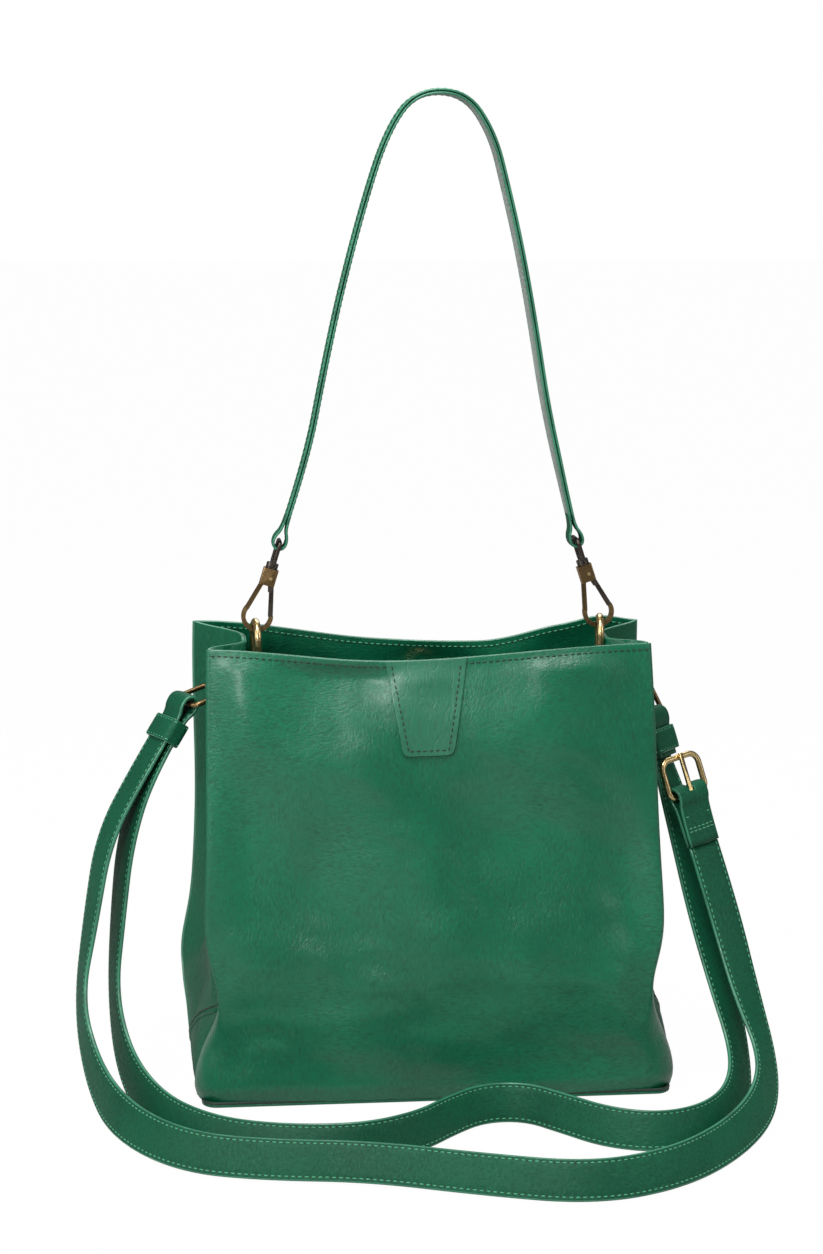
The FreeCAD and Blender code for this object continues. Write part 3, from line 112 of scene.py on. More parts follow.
class Finish:
    """One procedural material, built on the piece's own object coordinates."""

    def __init__(self, name, metallic=0.0, coat=0.0, sheen=0.0):
        self.material = bpy.data.materials.new(name)
        self.material.use_nodes = True
        self.tree = self.material.node_tree
        self.shader = self.tree.nodes["Principled BSDF"]
        self.shader.inputs["Metallic"].default_value = metallic
        self.shader.inputs["Coat Weight"].default_value = coat
        self.shader.inputs["Coat Roughness"].default_value = 0.24
        self.shader.inputs["Sheen Weight"].default_value = sheen
        self.place = self.add("TexCoord").outputs["Object"]

    def add(self, kind, **settings):
        node = self.tree.nodes.new("ShaderNode" + kind)
        for key, value in settings.items():
            setattr(node, key, value)
        return node

    def join(self, source, target):
        self.tree.links.new(source, target)

    def stretched(self, stretch, turn=(0, 0, 0), source=None):
        mapping = self.add("Mapping")
        mapping.inputs["Scale"].default_value = stretch
        mapping.inputs["Rotation"].default_value = turn
        self.join(source or self.place, mapping.inputs["Vector"])
        return mapping.outputs["Vector"]

    def noise(self, scale, detail=3.0, rough=0.5, distortion=0.0, source=None):
        node = self.add("TexNoise")
        node.inputs["Scale"].default_value = scale
        node.inputs["Detail"].default_value = detail
        node.inputs["Roughness"].default_value = rough
        node.inputs["Distortion"].default_value = distortion
        self.join(source or self.place, node.inputs["Vector"])
        return node.outputs["Fac"]

    def shaken(self, scale, amount):
        """Object coordinates pushed about by noise, so that the grain runs unevenly."""
        wobble = self.add("TexNoise")
        wobble.inputs["Scale"].default_value = scale
        self.join(self.place, wobble.inputs["Vector"])
        push = self.add("VectorMath", operation="MULTIPLY_ADD")
        push.inputs[1].default_value = (amount, amount, amount)
        self.join(wobble.outputs["Color"], push.inputs[0])
        self.join(self.place, push.inputs[2])
        return push.outputs["Vector"]

    def reach(self, value, low, high, to_low=0.0, to_high=1.0, smooth=True):
        node = self.add("MapRange", interpolation_type="SMOOTHSTEP" if smooth else "LINEAR")
        for name, number in (("From Min", low), ("From Max", high), ("To Min", to_low), ("To Max", to_high)):
            node.inputs[name].default_value = number
        self.join(value, node.inputs["Value"])
        return node.outputs["Result"]

    def sum(self, first, second, share=1.0):
        node = self.add("Math", operation="MULTIPLY_ADD")
        self.join(second, node.inputs[0])
        node.inputs[1].default_value = share
        self.join(first, node.inputs[2])
        return node.outputs["Value"]

    def away_from_half(self, value):
        """Narrow valleys where the value passes one half."""
        shift = self.add("Math", operation="SUBTRACT")
        shift.inputs[1].default_value = 0.5
        self.join(value, shift.inputs[0])
        size = self.add("Math", operation="ABSOLUTE")
        self.join(shift.outputs["Value"], size.inputs[0])
        return size.outputs["Value"]

    def mix_values(self, share, first, second):
        node = self.add("Mix", data_type="FLOAT")
        self.join(share, node.inputs["Factor"])
        self.join(first, node.inputs[2])
        self.join(second, node.inputs[3])
        return node.outputs[0]

    def blend(self, share, first, second):
        node = self.add("Mix", data_type="RGBA")
        self.join(share, node.inputs["Factor"])
        for socket, colour in ((node.inputs[6], first), (node.inputs[7], second)):
            if isinstance(colour, bpy.types.NodeSocket):
                self.join(colour, socket)
            else:
                socket.default_value = (*colour, 1.0)
        return node.outputs[2]

    def colour(self, socket):
        self.join(socket, self.shader.inputs["Base Color"])

    def roughness(self, socket):
        self.join(socket, self.shader.inputs["Roughness"])

    def bump(self, height, distance, strength=1.0, under=None):
        node = self.add("Bump")
        node.inputs["Strength"].default_value = strength
        node.inputs["Distance"].default_value = distance
        self.join(height, node.inputs["Height"])
        if under is not None:
            self.join(under, node.inputs["Normal"])
        return node.outputs["Normal"]

    def surface(self, normal):
        self.join(normal, self.shader.inputs["Normal"])


def scaled(colour, factor):
    return tuple(min(1.0, channel * factor) for channel in colour)


def leather_finish(name, grain=1.0, crease=1.0, gloss=0.0, painted_sheen=0.0, depth=1.0, specular=0.38):
    """Soft semi-gloss leather: fine flowing wrinkles, pores, cloudy dye, painted shade in the wrinkle valleys and
    fold creases, and a painted sheen on the wrinkle tops.
    """
    finish = Finish(name, coat=max(0.0, 0.20 + gloss))
    flow = finish.shaken(16, 0.007)
    upright = finish.noise(760, 3.0, 0.60, 0.2, finish.stretched((1.0, 1.0, 0.38), (0.0, 0.12, 0.0), flow))
    level = finish.noise(760, 3.0, 0.60, 0.2, finish.stretched((0.42, 1.0, 1.0), (0.0, -0.15, 0.0), flow))
    turning = finish.reach(finish.noise(13, 2.0, 0.5), 0.40, 0.60)
    wrinkles = finish.mix_values(turning, upright, level)
    pores = finish.noise(2600, 2.0, 0.6)
    long_way = finish.stretched((1.0, 1.0, 0.55), (0.0, 0.35, 0.0), flow)
    folds = finish.away_from_half(finish.noise(95, 2.0, 0.5, 0.0, long_way))
    clouds = finish.noise(15, 3.0, 0.5)
    patches = finish.noise(60, 3.0, 0.6, 0.4)

    # dark is the painted crease shade colour, also used for the random dye patches.
    base, dark = scaled(colours().leather, depth), scaled(colours().leather_patches_and_crease_shade, depth)
    dye_shade_and_sheen = finish.blend(finish.reach(clouds, 0.30, 0.70), scaled(base, 0.84), scaled(base, 1.14))
    dye_shade_and_sheen = finish.blend(finish.reach(patches, 0.40, 0.75, 0.0, 0.25), dye_shade_and_sheen, dark)
    # Painted shade: the wrinkle valleys are darkened toward the crease shade colour.
    dye_shade_and_sheen = finish.blend(finish.reach(wrinkles, 0.32, 0.54, 0.55 * grain, 0.0), dye_shade_and_sheen, dark)
    # Painted sheen: the wrinkle tops are paled toward a pale green-grey highlight colour. A leather's own sheen
    # share lays the same painted sheen over its whole surface.
    dye_shade_and_sheen = finish.blend(finish.reach(wrinkles, 0.55, 0.72, painted_sheen, painted_sheen + 0.12 * grain), dye_shade_and_sheen, PAINTED_SHEEN_COLOUR)
    # Painted shade: narrow darker lines along the fold creases.
    dye_shade_and_sheen = finish.blend(finish.reach(folds, 0.0, 0.020, 0.10 * crease, 0.0), dye_shade_and_sheen, dark)
    finish.colour(dye_shade_and_sheen)
    shine = finish.reach(clouds, 0.3, 0.7, 0.30 - gloss, 0.39 - gloss)
    finish.roughness(finish.sum(shine, finish.reach(wrinkles, 0.35, 0.65, 0.08, 0.0)))

    relief = finish.bump(finish.reach(folds, 0.0, 0.05), 0.0003, 0.16 * crease)
    relief = finish.bump(wrinkles, 0.0006, 0.60 * grain, relief)
    relief = finish.bump(pores, 0.00006, 0.4, relief)
    finish.surface(relief)
    finish.shader.inputs["Specular IOR Level"].default_value = specular
    return finish.material


def edge_finish():
    """Painted leather edge: glossy, slightly lumpy, darker where it has rubbed."""
    finish = Finish("Edge paint", coat=0.25)
    lumps = finish.noise(240, 3.0, 0.5)
    rubbed = finish.noise(60, 3.0, 0.6)
    paint = tuple(colours().edge)
    finish.colour(finish.blend(finish.reach(rubbed, 0.35, 0.75), paint, scaled(paint, 0.62)))
    finish.roughness(finish.reach(lumps, 0.2, 0.8, 0.30, 0.48))
    finish.surface(finish.bump(lumps, 0.00025, 0.7))
    return finish.material


def flesh_finish():
    """Napped flesh side of leather."""
    finish = Finish("Flesh side", sheen=0.25)
    nap = finish.noise(1500, 4.0, 0.7)
    clouds = finish.noise(70, 4.0, 0.6)
    base = tuple(colours().flesh)
    mottled = finish.blend(finish.reach(clouds, 0.3, 0.7), scaled(base, 0.75), scaled(base, 1.15))
    finish.colour(finish.blend(finish.reach(nap, 0.35, 0.65, 0.0, 0.5), mottled, scaled(base, 0.55)))
    finish.roughness(finish.reach(nap, 0.3, 0.7, 0.82, 0.95))
    finish.surface(finish.bump(nap, 0.00018, 0.8))
    return finish.material


def cloth_finish(name, colour, pitch, slant):
    """Woven cloth with crossing ribs."""
    finish = Finish(name, sheen=0.15)
    heights = []
    for turn in (slant, slant + math.pi / 2):
        wave = finish.add("TexWave", bands_direction="X")
        wave.inputs["Scale"].default_value = 0.31 / pitch
        wave.inputs["Distortion"].default_value = 0.6
        wave.inputs["Detail"].default_value = 2.0
        finish.join(finish.stretched((1, 1, 1), (0.0, turn, 0.0)), wave.inputs["Vector"])
        heights.append(wave.outputs["Fac"])
    weave = finish.sum(heights[0], heights[1], 0.6)
    fluff = finish.noise(900, 3.0, 0.6)
    shade = finish.blend(finish.reach(weave, 0.2, 1.3), scaled(colour, 0.55), scaled(colour, 1.2))
    finish.colour(finish.blend(finish.reach(fluff, 0.4, 0.7, 0.0, 0.3), shade, scaled(colour, 0.7)))
    finish.roughness(finish.reach(weave, 0.0, 1.6, 0.92, 0.74))
    finish.surface(finish.bump(weave, 0.00025, 0.8))
    return finish.material


def thread_finish(name, colour):
    """Waxed twisted thread."""
    finish = Finish(name, sheen=0.1)
    twist = finish.add("TexWave", bands_direction="DIAGONAL")
    twist.inputs["Scale"].default_value = 900.0
    twist.inputs["Distortion"].default_value = 1.5
    finish.join(finish.place, twist.inputs["Vector"])
    tone = finish.blend(twist.outputs["Fac"], scaled(colour, 0.65), scaled(colour, 1.25))
    finish.colour(tone)
    finish.roughness(finish.reach(twist.outputs["Fac"], 0.0, 1.0, 0.62, 0.48))
    finish.surface(finish.bump(twist.outputs["Fac"], 0.0001, 0.7))
    return finish.material


def metal_finish(name, colour, dark_share, rough, wear=1.5):
    """Plated metal: tarnished in the hollows, brushed, rubbed bright along its edges."""
    finish = Finish(name, metallic=1.0)
    tarnish = finish.noise(180, 5.0, 0.65, 0.8)
    brushed = finish.noise(900, 3.0, 0.6, 0.0, finish.stretched((1.0, 1.0, 0.12)))
    scuffs = finish.noise(420, 4.0, 0.7)
    body = finish.blend(finish.reach(tarnish, 0.35, 0.68, 0.0, dark_share), colour, scaled(colour, 0.32))
    edges = finish.add("NewGeometry").outputs["Pointiness"]
    rubbed = finish.reach(edges, 0.505, 0.56, 0.0, 0.75)
    body = finish.blend(rubbed, body, scaled(colour, wear))
    finish.colour(body)
    shine = finish.sum(finish.reach(tarnish, 0.3, 0.7, rough - 0.06, rough + 0.10), scuffs, 0.08)
    finish.roughness(shine)
    relief = finish.bump(brushed, 0.00004, 0.6)
    finish.surface(finish.bump(tarnish, 0.00008, 0.5, relief))
    return finish.material


# Pale green-grey painted sheen, laid on the wrinkle tops of the leathers and all over the front tab.
PAINTED_SHEEN_COLOUR = (0.075, 0.215, 0.150)
FINISHES = {
    "leather": lambda: leather_finish("Leather"),
    "smooth leather": lambda: leather_finish("Smooth leather", 0.55, 0.5, 0.04),
    # The tab leather's last argument paints sheen all over it, paling its colour toward the sheen colour.
    "tab leather": lambda: leather_finish("Tab leather", 0.9, 1.6, 0.0, 0.22),
    "side leather": lambda: leather_finish("Side leather", 1.0, 1.0, -0.20, 0.0, 0.85, 0.20),
    "strap leather": lambda: leather_finish("Strap leather", 0.9, 0.8, -0.20, 0.0, 0.66, 0.22),
    "edge": edge_finish,
    "flesh": flesh_finish,
    "lining": lambda: cloth_finish("Lining cloth", tuple(colours().lining), 0.0009, 0.78),
    "tape": lambda: cloth_finish("Zip tape", scaled(colours().leather, 0.9), 0.0006, 0.0),
    "thread": lambda: thread_finish("Thread", tuple(colours().thread)),
    "dark thread": lambda: thread_finish("Dark thread", tuple(colours().dark_thread)),
    # Painted shade: near-black beads between the stitches stand for the shadowed stitch holes.
    "hole_shade": lambda: thread_finish("Stitch hole", (0.001, 0.012, 0.006)),
    "antique": lambda: metal_finish("Antique brass", scaled(colours().antique, 0.6), 0.55, 0.28, 3.0),
    "brass": lambda: metal_finish("Pale brass", tuple(colours().brass), 0.45, 0.24, 1.35),
    "gunmetal": lambda: metal_finish("Gunmetal", tuple(colours().gunmetal), 0.5, 0.26, 2.6),
}
MADE = {}


def finish(name):
    """The material of that name, made the first time it is asked for."""
    if name not in MADE:
        MADE[name] = FINISHES[name]()
    return MADE[name]


# Pieces


def piece(name, shape, finishes, nodes=(), body="root", slot="leather", smooth=True):
    """Make an object of a bmesh, give it its finishes, and let it ride on a body in place of CAD nodes."""
    mesh = bpy.data.meshes.new(name)
    shape.to_mesh(mesh)
    shape.free()
    for word in finishes:
        mesh.materials.append(finish(word))
    if smooth:
        mesh.shade_smooth()
    made = bpy.data.objects.new(name, mesh)
    bpy.context.scene.collection.objects.link(made)
    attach(made, body)
    if nodes:
        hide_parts(*nodes)
    return made


def round_edges(made, width, segments=3, angle=35):
    bevel = made.modifiers.new("Rounded edges", "BEVEL")
    bevel.width = width
    bevel.segments = segments
    bevel.limit_method = "ANGLE"
    bevel.angle_limit = math.radians(angle)
    bevel.harden_normals = False
    return bevel


def thicken(made, thickness, bevel=0.0004):
    """Give a sheet of leather its thickness, with its painted edge as the next material."""
    solid = made.modifiers.new("Leather thickness", "SOLIDIFY")
    solid.thickness = thickness
    solid.offset = -1.0
    solid.use_even_offset = False
    solid.material_offset_rim = 1
    if bevel:
        round_edges(made, bevel, 3, 50)
    return made


def grid_sheet(columns, rows, place):
    """A grid whose points go where place(u, v) says, u and v from 0 to 1, with its own UV map."""
    sheet = bmesh.new()
    sheet.loops.layers.uv.new("Pattern")
    bmesh.ops.create_grid(sheet, x_segments=columns, y_segments=rows, size=0.5, calc_uvs=True)
    for vert in sheet.verts:
        vert.co = place(vert.co.x + 0.5, vert.co.y + 0.5)
    return sheet


def spline_points(points, steps):
    """Points along the smooth line that a route's control points give."""
    curve = bpy.data.curves.new("route", "CURVE")
    curve.dimensions = "3D"
    curve.resolution_u = steps
    spline = curve.splines.new("NURBS")
    spline.points.add(len(points) - 1)
    for knot, point in zip(spline.points, points):
        knot.co = (*point, 1.0)
    spline.order_u = 3
    spline.use_endpoint_u = True
    holder = bpy.data.objects.new("route", curve)
    line = bpy.data.meshes.new_from_object(holder)
    found = [vert.co.copy() for vert in line.vertices]
    bpy.data.objects.remove(holder)
    bpy.data.meshes.remove(line)
    bpy.data.curves.remove(curve)
    return found


class Station:
    """One place along a band: its middle, its width direction, its face's direction, and the way it runs."""

    def __init__(self, middle, across, along):
        self.along = along.normalized()
        self.across = (across - self.along * across.dot(self.along)).normalized()
        self.face = self.along.cross(self.across)
        self.middle = middle

    def at(self, sideways, outward):
        return self.middle + self.across * sideways + self.face * outward


def ring_stations(places, across):
    """Stations along a closed ring of places."""
    return [Station(place, across, places[(i + 1) % len(places)] - places[i - 1])
            for i, place in enumerate(places)]


def route_stations(points, turns, steps, shift=0.0):
    """Stations along a smooth route, with the band turned as its control points say."""
    reach = 0.02
    points = [Vector(point) for point in points]
    tips = [point + Vector(turn).normalized() * reach for point, turn in zip(points, turns)]
    middles, ends = spline_points(points, steps), spline_points(tips, steps)
    stations = []
    for i, (middle, end) in enumerate(zip(middles, ends)):
        before, after = middles[max(i - 1, 0)], middles[min(i + 1, len(middles) - 1)]
        stations.append(Station(middle, end - middle, after - before))
    for station in stations:
        station.middle = station.at(0.0, shift)
    return stations


def sweep(stations, profile, paint=None, looped=False):
    """Carry a closed outline, given as (sideways, outward) pairs, along the stations."""
    around, count = len(profile(0) if callable(profile) else profile), len(stations)
    rows = count if looped else count - 1
    tube = bmesh.new()
    tube.loops.layers.uv.new("Pattern")
    bmesh.ops.create_grid(tube, x_segments=around, y_segments=rows, size=0.5, calc_uvs=True)
    for vert in tube.verts:
        column = round((vert.co.x + 0.5) * around) % around
        row = round((vert.co.y + 0.5) * rows) % count
        outline = profile(row) if callable(profile) else profile
        vert.co = stations[row].at(*outline[column])
    if paint is not None:
        for face in tube.faces:
            columns = [loop[tube.loops.layers.uv.active].uv.x * around for loop in face.loops]
            column = int(min(columns) + 0.5)
            face.material_index = paint(column)
    bmesh.ops.remove_doubles(tube, verts=tube.verts, dist=1e-7)
    if not looped:
        bmesh.ops.holes_fill(tube, edges=[edge for edge in tube.edges if edge.is_boundary], sides=0)
    bmesh.ops.recalc_face_normals(tube, faces=tube.faces)
    return tube


def wire_outline(radius, sides=16):
    return [(radius * math.cos(2 * math.pi * i / sides), radius * math.sin(2 * math.pi * i / sides))
            for i in range(sides)]


GROOVE = (0.80, 0.70)
BAND_SHAPE = [(-1.0, 0.0), (-0.985, 0.45), (-0.93, 0.74), (-0.86, 0.80), (-0.80, 0.70), (-0.74, 0.84), (-0.5, 0.97),
              (0.0, 1.0), (0.5, 0.97), (0.74, 0.84), (0.80, 0.70), (0.86, 0.80), (0.93, 0.74), (0.985, 0.45)]


def band_outline(width, thickness):
    """Cross-section of a padded strap, with a groove where each row of stitches lies."""
    top = [(x * width / 2, y * thickness / 2) for x, y in BAND_SHAPE]
    back = [(-x, -y) for x, y in top]
    return top + back


def band_paint(column):
    """Painted edges are the second material of a band, its back the third."""
    edges = (0, 1, 12, 13, 14, 15, 26, 27)
    if column in edges:
        return 1
    return 0 if column < 14 else 2


class Stitches:
    """Rows of stitches gathered into one piece."""

    BATCH = 40

    def __init__(self):
        self.shape = bmesh.new()
        self.waiting = 0
        self.batches = []

    def set_aside(self):
        """Keep the batch being made small, because every bead walks through the whole of it."""
        mesh = bpy.data.meshes.new("stitch batch")
        self.shape.to_mesh(mesh)
        self.shape.free()
        self.batches.append(mesh)
        self.shape = bmesh.new()
        self.waiting = 0

    def bead(self, middle, along, outward, length, thick, high, paint):
        along = along.normalized()
        outward = (outward - along * outward.dot(along)).normalized()
        side = along.cross(outward)
        turn = Matrix((along, side, outward)).transposed().to_4x4()
        grow = Matrix.Diagonal((length / 2, thick / 2, high / 2, 1.0))
        made = bmesh.ops.create_uvsphere(self.shape, u_segments=6, v_segments=4, radius=1.0,
                                         matrix=Matrix.Translation(middle) @ turn @ grow)
        for face in {face for vert in made["verts"] for face in vert.link_faces}:
            face.material_index = paint
        self.waiting += 1
        if self.waiting == self.BATCH:
            self.set_aside()

    def row(self, places, outwards, holes=True, pitch=None, inset=0.0, lift=0.0):
        """Even stitches along a line of places, each with the surface's outward direction."""
        thread, pitch = sizes().thread, pitch or sizes().stitch_pitch
        lengths = [0.0]
        for i in range(1, len(places)):
            lengths.append(lengths[-1] + (places[i] - places[i - 1]).length)
        total = lengths[-1] - 2 * inset
        count = max(1, round(total / pitch))
        i = 0
        for k in range(count):
            for kind in (0, 1) if holes else (0,):
                goal = inset + total * (k + 0.5 + 0.5 * kind) / count
                if goal > lengths[-1]:
                    continue
                while i < len(lengths) - 2 and lengths[i + 1] < goal:
                    i += 1
                share = (goal - lengths[i]) / max(lengths[i + 1] - lengths[i], 1e-9)
                middle = places[i].lerp(places[i + 1], share)
                outward = outwards[i].lerp(outwards[i + 1], share)
                along = places[i + 1] - places[i]
                if kind == 0:
                    self.bead(middle + outward.normalized() * lift, along, outward, sizes().stitch_length, thread,
                              thread * 0.8, 0)
                else:
                    # Painted shade: a flat near-black bead between stitches stands for the shadowed stitch hole.
                    self.bead(middle, along, outward, thread * 1.3, thread * 1.2, thread * 0.35, 1)

    def finished(self, name, finishes=("thread", "hole_shade"), body="root"):
        for mesh in self.batches:
            self.shape.from_mesh(mesh)
            bpy.data.meshes.remove(mesh)
        return piece(name, self.shape, finishes, body=body)


# The bag's own surfaces


def smooth(value, low=0.0, high=1.0):
    share = min(1.0, max(0.0, (value - low) / (high - low)))
    return share * share * (3 - 2 * share)


def bell(value, width):
    return math.exp(-(value / width) ** 2)


def hill(value):
    """1 at 0, falling smoothly to 0 at -1 and 1."""
    return 0.5 + 0.5 * math.cos(math.pi * min(1.0, abs(value)))


def rise(z):
    return (z - sizes().leather) / (sizes().height - sizes().leather)


def corner_shift(side, u, z):
    """Sideways lean of the mouth, and how much further out the back wall's edges stand than the front's."""
    if side < 0:
        return -0.0024 * rise(z)
    if u > 0:
        return 0.0016 * rise(z) * smooth(u, 0.0, 1.0)
    out = 0.0065 + 0.0025 * smooth(z, 0.15, 0.26) + 0.0070 * bell(z - 0.062, 0.026)
    return -out * smooth(z, -0.005, 0.045) * smooth(-u, 0.0, 1.0)


def half_width(z, side=-1):
    plain = sizes().base_width / 2 - rise(z) * (sizes().base_width - sizes().rim_width) / 2
    waist = sizes().waist if side < 0 else 0.25 * sizes().waist
    drawn_in = waist * bell(z - 0.060, 0.026) + 0.0015 * bell(z - 0.150, 0.060)
    return plain - drawn_in + 0.0030 * bell(z - 0.012, 0.020)


def half_depth(z):
    taper = sizes().base_depth / 2 - rise(z) * (sizes().base_depth - sizes().rim_depth) / 2
    return taper + 4 * sizes().belly * rise(z) * (1 - rise(z))


def rim_dip(side, u):
    """How far a rim hangs below its corners; the back corners stand a little high."""
    if side < 0:
        return sizes().front_dip * 1.5 * hill((u + 0.20) / (0.80 if u < -0.20 else 1.20))
    sag = sizes().back_dip * 1.7 * hill((u - 0.25) / (1.25 if u < 0.25 else 0.45))
    sag -= 0.003 * hill((u - 0.82) / 0.18)
    return sag - 0.0065 * hill((u + 1) / 0.80) - 0.0035 * hill((u - 1) / 0.60)


def ridges(x, z):
    return 1 - 2 * abs(noise.noise(Vector((x, 4.7, z))))


def creases(u, z, side):
    """Soft hollows and wrinkles of a leather wall, outward."""
    x = u * sizes().rim_width / 2
    shift = 11.0 * side
    broad = 0.0125 * noise.noise(Vector((x * 11 + z * 6 + shift, 3.1, z * 8 - x * 4)))
    middle = 0.0034 * noise.noise(Vector((x * 24 + z * 8, 7.7 + shift, z * 19 - x * 9)))
    upper = smooth(z, 0.17, 0.25) * 0.0003 * noise.noise(Vector((x * 90 + shift, 1.3, z * 22)))
    lower = smooth(0.14 - z, 0.0, 0.09) * 0.0007 * noise.noise(Vector((x * 20 + shift, 5.2, z * 85)))
    hang = 0.0007 * noise.noise(Vector((x * 60 + z * 40, 9.4, z * 60 + shift)))
    return broad + middle + upper + lower + hang


def rounding(near, z):
    """How far a wall curves back this near its side edge: hardly at all high up, widely at the base corners."""
    radius = 0.0022 + 0.0150 * (1 - smooth(z, 0.030, 0.062))
    if near >= radius:
        return 0.0
    return radius - math.sqrt(max(0.0, radius ** 2 - (radius - near) ** 2))


def wall_point(side, u, v, inset=0.0, low=None, high=None):
    """A point on the front (side -1) or back wall: u from -1 to 1 across, v from 0 at the foot to 1 at the rim."""
    low = sizes().leather if low is None else low
    high = sizes().height if high is None else high
    z = low + v * (high - low)
    edge = smooth(1 - abs(u), 0.0, 0.20)
    reach = half_width(z, side) - 0.0012 * (1 - smooth(z, 0.0, 0.010))
    depth = half_depth(z) - 0.0030 * u ** 4 - rounding(reach * (1 - abs(u)), z)
    depth += creases(u, z, side) * edge * smooth(sizes().height - z, 0.0, 0.012) * smooth(z, 0.004, 0.030)
    depth -= 0.0035 * (1 - smooth(z, 0.0, 0.012))
    sag = rim_dip(side, u) * smooth(rise(z), 0.45, 1.0)
    return Vector((u * reach + corner_shift(side, u, z), side * (depth - inset), z - sag))


def side_point(side, t, v, inset=0.0, low=None, high=None):
    """A point on a folded side wall: t from -1 at the front edge to 1 at the back edge."""
    low = sizes().leather if low is None else low
    high = sizes().height if high is None else high
    z = low + v * (high - low)
    front, back = wall_point(-1, side, v, 0.0, low, high), wall_point(1, side, v, 0.0, low, high)
    lap = sizes().leather + 0.0002
    share = (t + 1) / 2
    y = (front.y + lap) * (1 - share) + (back.y - lap) * share
    crease = z - 0.100 + 0.045 * abs(t)
    fold = smooth((1 - abs(t)) / 0.74) * (0.35 + 0.65 * smooth(crease, -0.012, 0.016))
    puff = 0.0085 * bell(z - 0.050, 0.036) * (1 - t * t) * (1 - smooth(crease, -0.014, 0.010))
    wave = 0.0006 * noise.noise(Vector((t * 1.7 + 5 * side, 2.2, z * 14))) * (1 - t * t)
    wave += 0.00045 * ridges(t * 3.0 + side, z * 55) * (1 - t * t) * smooth(z, 0.01, 0.04)
    x = abs(front.x) + (abs(back.x) - abs(front.x)) * max(0.0, t) ** 1.5 - 0.0012
    x = x - sizes().fold_depth * rise(z) * fold + puff + wave - inset
    rim = front.z * (1 - share) + back.z * share
    return Vector((side * x, y, rim - 0.0015 * fold * smooth(rise(z), 0.7, 1.0)))


def wall_sheet(side, columns, rows, inset=0.0, low=None, high=None, narrow=0.0):
    def place(across, up):
        u = -side * (2 * across - 1) * (1 - narrow)
        return wall_point(side, u, up, inset, low, high)
    return grid_sheet(columns, rows, place)


def side_sheet(side, columns, rows, inset=0.0, low=None, high=None):
    def place(across, up):
        return side_point(side, side * (2 * across - 1), up, inset, low, high)
    return grid_sheet(columns, rows, place)


def outward(side):
    return Vector((0, side, 0))


class BAG_OT_shell(bpy.types.Operator):
    """Front, back, folded sides and base of soft leather, with a dark welt round the base"""
    bl_idname = "bag.shell"
    bl_label = "Leather shell"

    def execute(self, context):
        leather = sizes().leather
        for name, side in WALLS:
            panel = name + "_panel"
            wall = piece("leather_" + panel, wall_sheet(side, 170, 150), ("leather", "edge"), (panel,))
            thicken(wall, leather)
        for name, side in SIDES:
            panel = name + "_side_panel"
            wall = piece("leather_" + panel, side_sheet(side, 70, 130), ("side leather", "edge"), (panel,))
            thicken(wall, leather)
        self.base(leather)
        self.corner_seams()
        return {"FINISHED"}

    def outline(self, grow, z):
        """Places round the base, a step outside its rounded rectangle."""
        corner = 0.009
        wide, deep = sizes().base_width / 2 - corner - 0.0015, sizes().base_depth / 2 - corner - 0.0035
        places = []
        for turn, (x, y) in enumerate(((wide, deep), (-wide, deep), (-wide, -deep), (wide, -deep))):
            for k in range(9):
                angle = math.pi / 2 * (turn + k / 8)
                reach = corner + grow
                places.append(Vector((x + reach * math.cos(angle), y + reach * math.sin(angle), z)))
        return places

    def base(self, leather):
        slab = bmesh.new()
        rings = []
        for z, grow in ((0.0, -0.0008), (0.0006, 0.0), (leather - 0.0004, 0.0), (leather, -0.0005)):
            rings.append([slab.verts.new(place) for place in self.outline(grow, z)])
        edges = []
        for ring in rings:
            edges.append([slab.edges.new((ring[i], ring[(i + 1) % len(ring)])) for i in range(len(ring))])
        for lower, upper in zip(edges, edges[1:]):
            bmesh.ops.bridge_loops(slab, edges=lower + upper)
        slab.faces.new(rings[0])
        slab.faces.new(rings[-1])
        bmesh.ops.recalc_face_normals(slab, faces=slab.faces)
        made = piece("leather_base_panel", slab, ("leather",), ("base_panel",), smooth=False)
        round_edges(made, 0.0003)
        ring = self.outline(-0.0006, leather + 0.0006)
        stations = ring_stations(ring, Vector((0, 0, 1)))
        piece("base_welt", sweep(stations, wire_outline(0.0009, 8), looped=True), ("dark thread",))

    def corner_seams(self):
        """A slanted, stitched seam low on each folded side."""
        count = 40
        outline = [(0.0005, 0.0011), (-0.0004, 0.0014), (-0.0012, 0.0), (-0.0004, -0.0014), (0.0005, -0.0011)]
        for name, side in SIDES:
            places, sewn = [], []
            for k in range(count + 1):
                share = k / count
                t, v = -0.90 + 1.84 * share, (0.052 - 0.047 * share) / sizes().height
                places.append(side_point(side, t, v))
                sewn.append(side_point(side, t, v + 0.0036 / sizes().height, -0.0003))
            faces = [Vector((side, 0, 0))] * len(places)
            lip = []
            for i, here in enumerate(places):
                lip.append(Station(here, faces[i], places[min(i + 1, count)] - places[max(i - 1, 0)]))
            shape = sweep(lip, outline)
            piece(name + "_corner_seam", shape, ("side leather",))
            stitches = Stitches()
            stitches.row(sewn, faces)
            stitches.finished(name + "_corner_stitches", ("dark thread", "hole_shade"))


